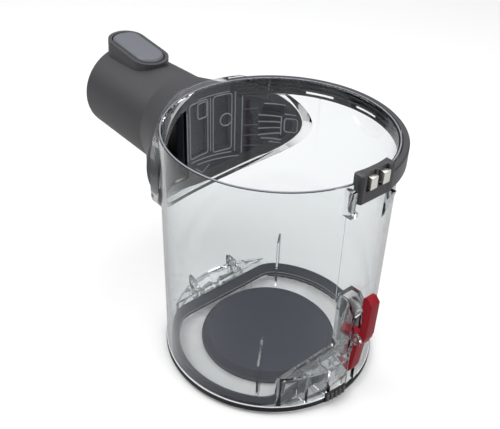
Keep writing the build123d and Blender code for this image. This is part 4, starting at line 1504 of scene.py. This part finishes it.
@dataclass
class RimHarness(Assembly):
    """Dark cover on the rim with its contact block, the folded contacts and the leads to the mouth.

    Args:
        outer: Outside radius of the cover in millimetres.
        seat: Radius of its inner face on the bin wall.
        lip: Radius of its lower lip.
        cover_round: Rounding of the cover's edges.
        carrier_round: Rounding of the contact carrier's edges.
        pitch: Distance between the two contacts.
        pad_half: Half width of a contact.
        pad_levels: Lowest and highest level of a contact's pad.
        pad_reach: Distance of the pad's face from the bin axis.
        cheek_root: Distance at which the contact's cheeks end.
        cheek_inset: Distance of the cheeks behind the pad's face.
        cheek_ends: Distances of the cheeks from the pad's lower and upper end.
        sheet: Thickness of the contacts' sheet.
        sheet_round: Rounding of the sheet's edges.
        notch_root: Distance at which the block's notches end.
        notch_half: Half width of a notch.
        notch_levels: Lowest and highest level of the notches.
        cheek_gap: Extra width of a notch beside one cheek of the contact.
        recess: Distance from the bin axis of the shallow recess between the notches.
        recess_rise: Height of the recess's foot above that of the notches.
        recess_overlap: Distance by which it reaches into the notches.
        cut_reach: Distance by which the cuts reach out of the cover.
        lead_reach: Radius of the leads' run round the rim.
        lead_levels: Heights of the two runs.
        lead_starts: Angles at which they start.
        lead_steps: Number of straight steps in a run.
        lead_offsets: Sideways place of the leads along the tube.
        lead_depths: Heights of the leads along the tube.
        lead_end: Place of the terminals' roots.
        lead_radius: Radius of a lead.
        lead_corner: Rounding of its bends.
    """

    outer: float = 61.7
    seat: float = 58.65
    lip: float = 59.7
    cover_round: float = 0.3
    carrier_round: float = 0.15
    pitch: float = 8.0
    pad_half: float = 2.1
    pad_levels: Span = (135.4, 141.4)
    pad_reach: float = 63.4
    cheek_root: float = 60.95
    cheek_inset: float = 0.25
    cheek_ends: Span = (0.15, 0.35)
    sheet: float = 0.45
    sheet_round: float = 0.12
    notch_root: float = 60.85
    notch_half: float = 2.6
    notch_levels: Span = (134.7, 145.0)
    cheek_gap: float = 1.4
    recess: float = 61.5
    recess_rise: float = 1.2
    recess_overlap: float = 0.2
    cut_reach: float = 2.0
    lead_reach: float = 59.45
    lead_levels: Span = (130.6, 133.4)
    lead_starts: Span = (-1.69, 6.03)
    lead_steps: int = 60
    lead_offsets: Span = (19.5, 17.0)
    lead_depths: Span = (117.72, 121.12)
    lead_end: float = -135.85
    lead_radius: float = 0.6
    lead_corner: float = 0.4

    def build(self) -> None:
        """Build and dress the cover, contacts, leads and terminals."""
        self.build_cover()
        for side, name in ((-1, "contact_left"), (1, "contact_right")):
            self.build_contact(side * self.pitch / 2, name)
        for index, name in enumerate(("lead_left", "lead_right")):
            self.build_lead(index, name)
        for name in ("terminal_left", "terminal_right"):
            self.shop.plain(name, Finish.CONTACT, Body.BIN, self.sheet_round)
        self.shop.plain("contact_carrier", Finish.COVER, Body.BIN, self.carrier_round)

    def build_cover(self) -> None:
        """Build the cover with open notches for the contacts."""
        cover = self.shop.solid_copy("wire_cover")
        low, high = self.notch_levels
        end = self.outer + self.cut_reach
        half = self.pitch / 2 - self.notch_half + self.recess_overlap
        boxes: list[Box] = [((self.recess, -half, low + self.recess_rise), (end, half, high))]
        for side in (-1, 1):
            middle = side * self.pitch / 2
            start = (self.notch_root, middle - self.notch_half - self.cheek_gap, low)
            boxes.append((start, (end, middle + self.notch_half, high)))
        self.shop.carve(cover, boxes)
        self.shop.bevel(cover, self.cover_round)
        skins = [RoundWall(radius, radius, FACET) for radius in (self.outer, self.seat, self.lip)]
        self.shop.refine(cover, turning_cuts(), skins)
        self.shop.dress(cover, Finish.COVER, Body.BIN, "wire_cover")

    def build_contact(self, middle: float, name: str) -> None:
        """Build a folded contact with closed cheeks.

        Args:
            middle: Sideways place of the contact in millimetres.
            name: Name of its node.
        """
        contact = self.shop.solid_copy(name)
        work = bmesh.new()
        work.from_mesh(contact.data)
        low = self.pad_levels[0] + self.cheek_ends[0]
        high = self.pad_levels[1] - self.cheek_ends[1]
        for side in (-1, 1):
            face = middle + side * (self.pad_half - self.sheet / 2)
            start = (self.cheek_root, face - self.sheet / 2, low)
            add_box(work, (start, (self.pad_reach - self.cheek_inset, face + self.sheet / 2, high)))
        work.to_mesh(contact.data)
        work.free()
        self.shop.bevel(contact, self.sheet_round)
        self.shop.dress(contact, Finish.CONTACT, Body.BIN, name)

    def build_lead(self, index: int, name: str) -> None:
        """Lay a lead round the rim, down the channel and along the tube.

        Args:
            index: Which of the two leads.
            name: Name of its node.
        """
        offset, depth = self.lead_offsets[index], self.lead_depths[index]
        last = 180.0 - math.degrees(math.asin(offset / self.lead_reach))
        line = arc(self.lead_reach, self.lead_starts[index], last, self.lead_levels[index], self.lead_steps)
        line.append(Vector((line[-1].x, offset, depth)))
        line.append(Vector((self.lead_end, offset, depth)))
        sizes = {"Radius": self.lead_radius * MM, "Corner": self.lead_corner * MM}
        self.shop.lay(self.shop.sweep, name + "_wire", [line], Finish.SLEEVE, Body.BIN, name, **sizes)


@dataclass
class BaseFlap(Assembly):
    """Hinged base: clear plate, black edge with ridged tab, seal ring, centre disc and hinge pin.

    Args:
        plate: Radius of the plate in millimetres.
        recess: Radius of the recess inside the seal.
        dish: Inner and outer radius of the plate's foot.
        trim: Inner and outer radius of the black edge.
        trim_round: Rounding of the black edge.
        seal: Outside radius of the seal ring.
        seal_chord: Distance of its flats from the bin axis.
        seal_corner: Radius of its corners.
        seal_step: Angle in degrees between the points of its outline.
        seal_width: Width of its root.
        seal_foot: Height of the plate that it sits on.
        seal_root: Height up to which its root is upright.
        seal_lip: Width of its top.
        seal_top: Height of its lip.
        seal_gap: Gap that keeps the seals' undersides from coinciding with the plate.
        seal_round: Rounding of the ring's edges.
        lip_radius: Radius of the lip's round bead.
        root_radius: Radius of the bead at the root's edge.
        bead_sink: Depth by which the two beads are set in.
        disc: Radius of the centre disc.
        disc_foot: Radius of its foot.
        disc_round: Rounding of its edges.
        disc_depth: Depth below its top within which a vertex belongs to the top.
        disc_inner: Radius outside which a vertex of the top belongs to its edge.
        disc_lift: Height by which its top is raised over the solid's.
        disc_slope: Width by which its side slopes inwards.
        tab_reach: Outside radius of the finger tab.
        tab_angle: Angle of the tab's middle in degrees.
        tab_span: Angle that the tab takes up.
        tab_levels: Lowest and highest level of its ridges.
        tab_ridges: Number of ridges.
        ridge_radius: Radius of a ridge.
        pin_round: Rounding of the hinge pin's ends.
    """

    plate: float = 57.5
    recess: float = 51.8
    dish: Span = (50.5, 52.5)
    trim: Span = (57.6, 59.2)
    trim_round: float = 0.2
    seal: float = 56.2
    seal_chord: float = 43.7
    seal_corner: float = 18.0
    seal_step: float = 2.0
    seal_width: float = 4.4
    seal_foot: float = 4.0
    seal_root: float = 6.0
    seal_lip: float = 0.8
    seal_top: float = 10.0
    seal_gap: float = 0.04
    seal_round: float = 0.25
    lip_radius: float = 0.4
    root_radius: float = 0.25
    bead_sink: float = 0.1
    disc: float = 37.5
    disc_foot: float = 38.8
    disc_round: float = 0.3
    disc_depth: float = 1.2
    disc_inner: float = 31.85
    disc_lift: float = 1.8
    disc_slope: float = 1.9
    tab_reach: float = 60.0
    tab_angle: float = -5.0
    tab_span: float = 13.0
    tab_levels: Span = (3.4, 7.8)
    tab_ridges: int = 5
    ridge_radius: float = 0.75
    pin_round: float = 0.2

    def build(self) -> None:
        """Build and dress the flap's pieces."""
        for node, finish, rounding, radii in (
            ("base_flap", Finish.CLEAR, 0.0, (self.plate, self.recess, *self.dish)),
            ("flap_trim", Finish.EDGE, self.trim_round, (*self.trim, self.tab_reach)),
            ("centre_seal", Finish.SEAL, self.disc_round, (self.disc, self.disc_foot)),
        ):
            piece = self.shop.solid_copy(node)
            if node == "centre_seal":
                self.shape_disc(piece.data.vertices)
            if rounding:
                self.shop.bevel(piece, rounding)
            self.shop.refine(piece, turning_cuts(), [RoundWall(radius, radius, FACET) for radius in radii])
            self.shop.dress(piece, finish, Body.FLAP, node)
        self.build_ridges()
        self.build_seal()
        self.build_beads()
        self.shop.plain("hinge_pin", Finish.STEEL, Body.BIN, self.pin_round)

    def shape_disc(self, verts: Sequence[bpy.types.MeshVertex]) -> None:
        """Raise and narrow the disc's top as the photograph shows it, and free its underside.

        Args:
            verts: Vertices of the disc.
        """
        top = max(vert.co.z for vert in verts)
        foot = min(vert.co.z for vert in verts)
        narrow = 1.0 - self.disc_slope / self.disc
        for vert in verts:
            if vert.co.z > top - self.disc_depth * MM:
                if math.hypot(vert.co.x, vert.co.y) > self.disc_inner * MM:
                    vert.co.x *= narrow
                    vert.co.y *= narrow
                vert.co.z += self.disc_lift * MM
            elif vert.co.z < foot + TOUCH / 2 * MM:
                vert.co.z = foot + self.seal_gap * MM

    def build_ridges(self) -> None:
        """Set the row of ridges on the finger tab."""
        pitch = self.tab_span / self.tab_ridges
        ridges = self.shop.ridges.grow(
            "tab_ridges",
            bpy.data.meshes.new("tab_ridges_seed"),
            Wall=self.tab_reach * MM,
            Start=math.radians(self.tab_angle - self.tab_span / 2 + pitch / 2),
            Span=math.radians(self.tab_span - pitch),
            Low=self.tab_levels[0] * MM,
            High=self.tab_levels[1] * MM,
            Radius=self.ridge_radius * MM,
            Count=self.tab_ridges,
            Material=self.shop.finish(Finish.TAB),
        )
        self.shop.dress(ridges, Finish.TAB, Body.FLAP)

    def outline(self, inset: float, level: float) -> list[Vector]:
        """Trace the seal: two arcs and two flats with rounded corners.

        Args:
            inset: Distance in millimetres inside the seal's outer edge.
            level: Height of the line.

        Returns:
            Points of the closed line, anticlockwise from above.
        """
        across = self.seal_chord - self.seal_corner
        along = math.sqrt((self.seal - self.seal_corner) ** 2 - across**2)
        lean = math.degrees(math.atan2(along, across))
        corner, reach = self.seal_corner - inset, self.seal - inset
        line: list[Vector] = []
        for turn, side in ((0.0, 1), (180.0, -1)):
            for middle, radius, first, last in (
                (Vector((across, along, 0)) * side, corner, turn, turn + lean),
                (Vector((0, 0, 0)), reach, turn + lean, turn + 180.0 - lean),
                (Vector((-across, along, 0)) * side, corner, turn + 180.0 - lean, turn + 180.0),
            ):
                steps = round((last - first) / self.seal_step)
                line += [middle + spot for spot in arc(radius, first, last, level, steps)]
        return [spot for index, spot in enumerate(line) if (spot - line[index - 1]).length > TOUCH / 2]

    def build_seal(self) -> None:
        """Build the seal ring from its section, which leans inwards above its root."""
        foot = self.seal_foot + self.seal_gap
        section = (
            (0.0, foot),
            (0.0, self.seal_top),
            (self.seal_lip, self.seal_top),
            (self.seal_width, self.seal_root),
            (self.seal_width, foot),
        )
        work = bmesh.new()
        rows = [[work.verts.new(spot * MM) for spot in self.outline(*corner)] for corner in section]
        for row, after in zip(rows, rows[1:] + rows[:1]):
            for index in range(len(row)):
                work.faces.new((row[index - 1], row[index], after[index], after[index - 1]))
        ring = linked_mesh("base_seal_skin", work)
        self.shop.bevel(ring, self.seal_round)
        self.shop.dress(ring, Finish.SEAL, Body.FLAP, "base_seal")

    def build_beads(self) -> None:
        """Lay the round lip on top of the seal and the pale bead at its root, whose colour paints the
        highlight along the root's edge.
        """
        lip = self.outline(self.lip_radius, self.seal_top - self.bead_sink)
        edge = self.outline(self.seal_width - self.bead_sink, self.seal_root)
        for name, finish, line, radius in (
            ("seal_lip", Finish.SEAL, lip, self.lip_radius),
            ("painted_seal_highlight", Finish.PAINTED_SEAL_HIGHLIGHT, edge, self.root_radius),
        ):
            sizes = {"Radius": radius * MM, "Corner": CORNER * MM}
            self.shop.lay(self.shop.sweep, name, [line], finish, Body.FLAP, closed=True, **sizes)


@dataclass
class Latch(Assembly):
    """Red catch with its pin and return coil.

    Args:
        rounding: Rounding of the catch's edges in millimetres.
        pin_round: Rounding of the pin's ends.
        coil: Return coil.
        coil_place: Foot of the coil.
    """

    rounding: float = 0.5
    pin_round: float = 0.15
    coil: CoilSpring = CoilSpring(
        "catch_coil", "catch_spring", "catch_pivot", radius=1.9, room=13.25, wire=0.25, turns=5.0, keep=0.94
    )
    coil_place: Triple = (52.0, 7.0, 25.25)

    def build(self) -> None:
        """Build and dress the catch, its pin and its coil."""
        self.shop.plain("bin_catch", Finish.CATCH, Body.CATCH, self.rounding, steps=3)
        self.shop.plain("catch_pin", Finish.STEEL, Body.BIN, self.pin_round)
        self.coil.build(self.shop, Vector(self.coil_place))


@dataclass(frozen=True)
class Lamp:
    """Square soft lamp.

    Args:
        name: Its name.
        place: Its middle in millimetres.
        aim: Point that it is turned to.
        size: Edge length in millimetres.
        power: Power in watts.
    """

    name: str
    place: Triple
    aim: Triple
    size: float
    power: float

    def build(self) -> None:
        """Hang the lamp and turn it to its aim."""
        light = bpy.data.lights.new(self.name, "AREA")
        light.energy = self.power
        light.size = self.size * MM
        light.shape = "SQUARE"
        holder = linked(self.name, light)
        holder.location = Vector(self.place) * MM
        sight = Vector(self.aim) * MM - Vector(self.place) * MM
        holder.rotation_euler = sight.to_track_quat("-Z", "Y").to_euler()


@dataclass
class Studio:
    """Pale floor, soft light and the camera.

    Args:
        eye: Camera place in millimetres.
        yaw: Turn of the camera about Z in degrees.
        pitch: Angle below the horizon in degrees.
        roll: Turn about the line of sight in degrees.
        lens: Focal length in millimetres.
        sensor: Width of the camera's sensor in millimetres.
        sight: Nearest and furthest distance in metres that the camera shows.
        floor_size: Edge length of the floor in metres.
        floor_cells: Number of cells along its edge.
        floor_seen: Brightness of the floor as it is seen.
        floor_felt: Brightness of the floor in reflections and as bounced light.
        floor_roughness: Its roughness.
        floor_gloss: Strength of its mirror light.
        horizon: Colour of the surroundings at the horizon.
        zenith: Height of the view from which on they are white.
        backdrop: Brightness of the surroundings as they are seen.
        glow: Strength of the surroundings.
        lamps: Soft lamps.
    """

    eye: Triple = (221.11, -213.52, 298.02)
    yaw: float = 48.44
    pitch: float = 34.69
    roll: float = 2.03
    lens: float = 51.58
    sensor: float = 36.0
    sight: Span = (0.01, 20.0)
    floor_size: float = 6.0
    floor_cells: int = 8
    floor_seen: float = 0.89
    floor_felt: float = 0.5
    floor_roughness: float = 0.8
    floor_gloss: float = 0.1
    horizon: Triple = (0.32, 0.33, 0.35)
    zenith: float = 0.6
    backdrop: float = 0.93
    glow: float = 0.62
    lamps: tuple[Lamp, ...] = (
        Lamp("key_panel", (-350, -500, 800), (0, 0, 80), 700, 4.2),
        Lamp("top_panel", (-80, 220, 1000), (-80, 150, 0), 1300, 5.6),
        Lamp("side_panel", (600, 200, 450), (0, 0, 80), 500, 1.2),
    )

    def build(self) -> None:
        """Make the surroundings, the lamps, the floor and the camera."""
        self.surround()
        for lamp in self.lamps:
            lamp.build()
        self.floor()
        self.camera()

    def seen_or_felt(self, tree: bpy.types.NodeTree, seen: float, felt: object) -> bpy.types.NodeSocket:
        """Choose between the look of what is seen and of what only lights and mirrors in the part.

        Args:
            tree: Node tree that gets the choice.
            seen: Brightness as it is seen, also through clear walls.
            felt: Colour or socket for reflections and bounced light.

        Returns:
            The chosen colour.
        """
        path = tree.nodes.new("ShaderNodeLightPath").outputs
        bounces = math_at(tree, "ADD", path["Glossy Depth"], path["Diffuse Depth"])
        return mix_at(tree, math_at(tree, "MINIMUM", bounces, 1.0), (seen, seen, seen, 1.0), felt)

    def floor(self) -> None:
        """Lay the pale floor."""
        work = bmesh.new()
        cells = self.floor_cells
        bmesh.ops.create_grid(work, x_segments=cells, y_segments=cells, size=self.floor_size / 2)
        floor = linked_mesh("studio_floor", work)
        made = bpy.data.materials.new("PaleFloor")
        made.use_nodes = True
        tree = made.node_tree
        inputs = tree.nodes[SURFACE].inputs
        felt = (self.floor_felt, self.floor_felt, self.floor_felt, 1.0)
        tree.links.new(self.seen_or_felt(tree, self.floor_seen, felt), inputs["Base Color"])
        inputs["Roughness"].default_value = self.floor_roughness
        inputs["Specular IOR Level"].default_value = self.floor_gloss
        floor.data.materials.append(made)

    def surround(self) -> None:
        """Set the soft surroundings."""
        scene = bpy.context.scene
        scene.view_settings.view_transform = "Standard"
        world = bpy.data.worlds.new("StudioWorld")
        scene.world = world
        world.use_nodes = True
        tree = world.node_tree
        place = tree.nodes.new("ShaderNodeTexCoord").outputs["Generated"]
        split = node_at(tree, "ShaderNodeSeparateXYZ", Vector=place)
        ramp = node_at(tree, "ShaderNodeValToRGB", Fac=split.outputs["Z"])
        low, high = ramp.color_ramp.elements
        low.position = 0.0
        low.color = (*self.horizon, 1.0)
        high.position = self.zenith
        high.color = (1.0, 1.0, 1.0, 1.0)
        inputs = tree.nodes["Background"].inputs
        colour = self.seen_or_felt(tree, self.backdrop / self.glow, ramp.outputs["Color"])
        tree.links.new(colour, inputs["Color"])
        inputs["Strength"].default_value = self.glow

    def camera(self) -> None:
        """Set the camera at the photograph's angle."""
        view = bpy.data.cameras.new("photo_view")
        view.lens = self.lens
        view.sensor_width = self.sensor
        view.sensor_fit = "HORIZONTAL"
        view.clip_start, view.clip_end = self.sight
        holder = linked("photo_view", view)
        turn = (
            Matrix.Rotation(math.radians(self.yaw), 4, "Z")
            @ Matrix.Rotation(math.radians(90.0 - self.pitch), 4, "X")
            @ Matrix.Rotation(math.radians(self.roll), 4, "Z")
        )
        holder.matrix_world = Matrix.Translation(Vector(self.eye) * MM) @ turn
        bpy.context.scene.camera = holder


def main() -> None:
    """Build every sub-assembly and report its pieces."""
    logging.basicConfig(level=logging.INFO, format="%(name)s: %(message)s")
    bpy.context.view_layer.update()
    shop = Workshop()
    for assembly in (BinShell, InletDuct, RimHarness, BaseFlap, Latch):
        LOG.info("building %s", assembly.__name__)
        assembly(shop).build()
    Studio().build()


if __name__ == "__main__":
    main()
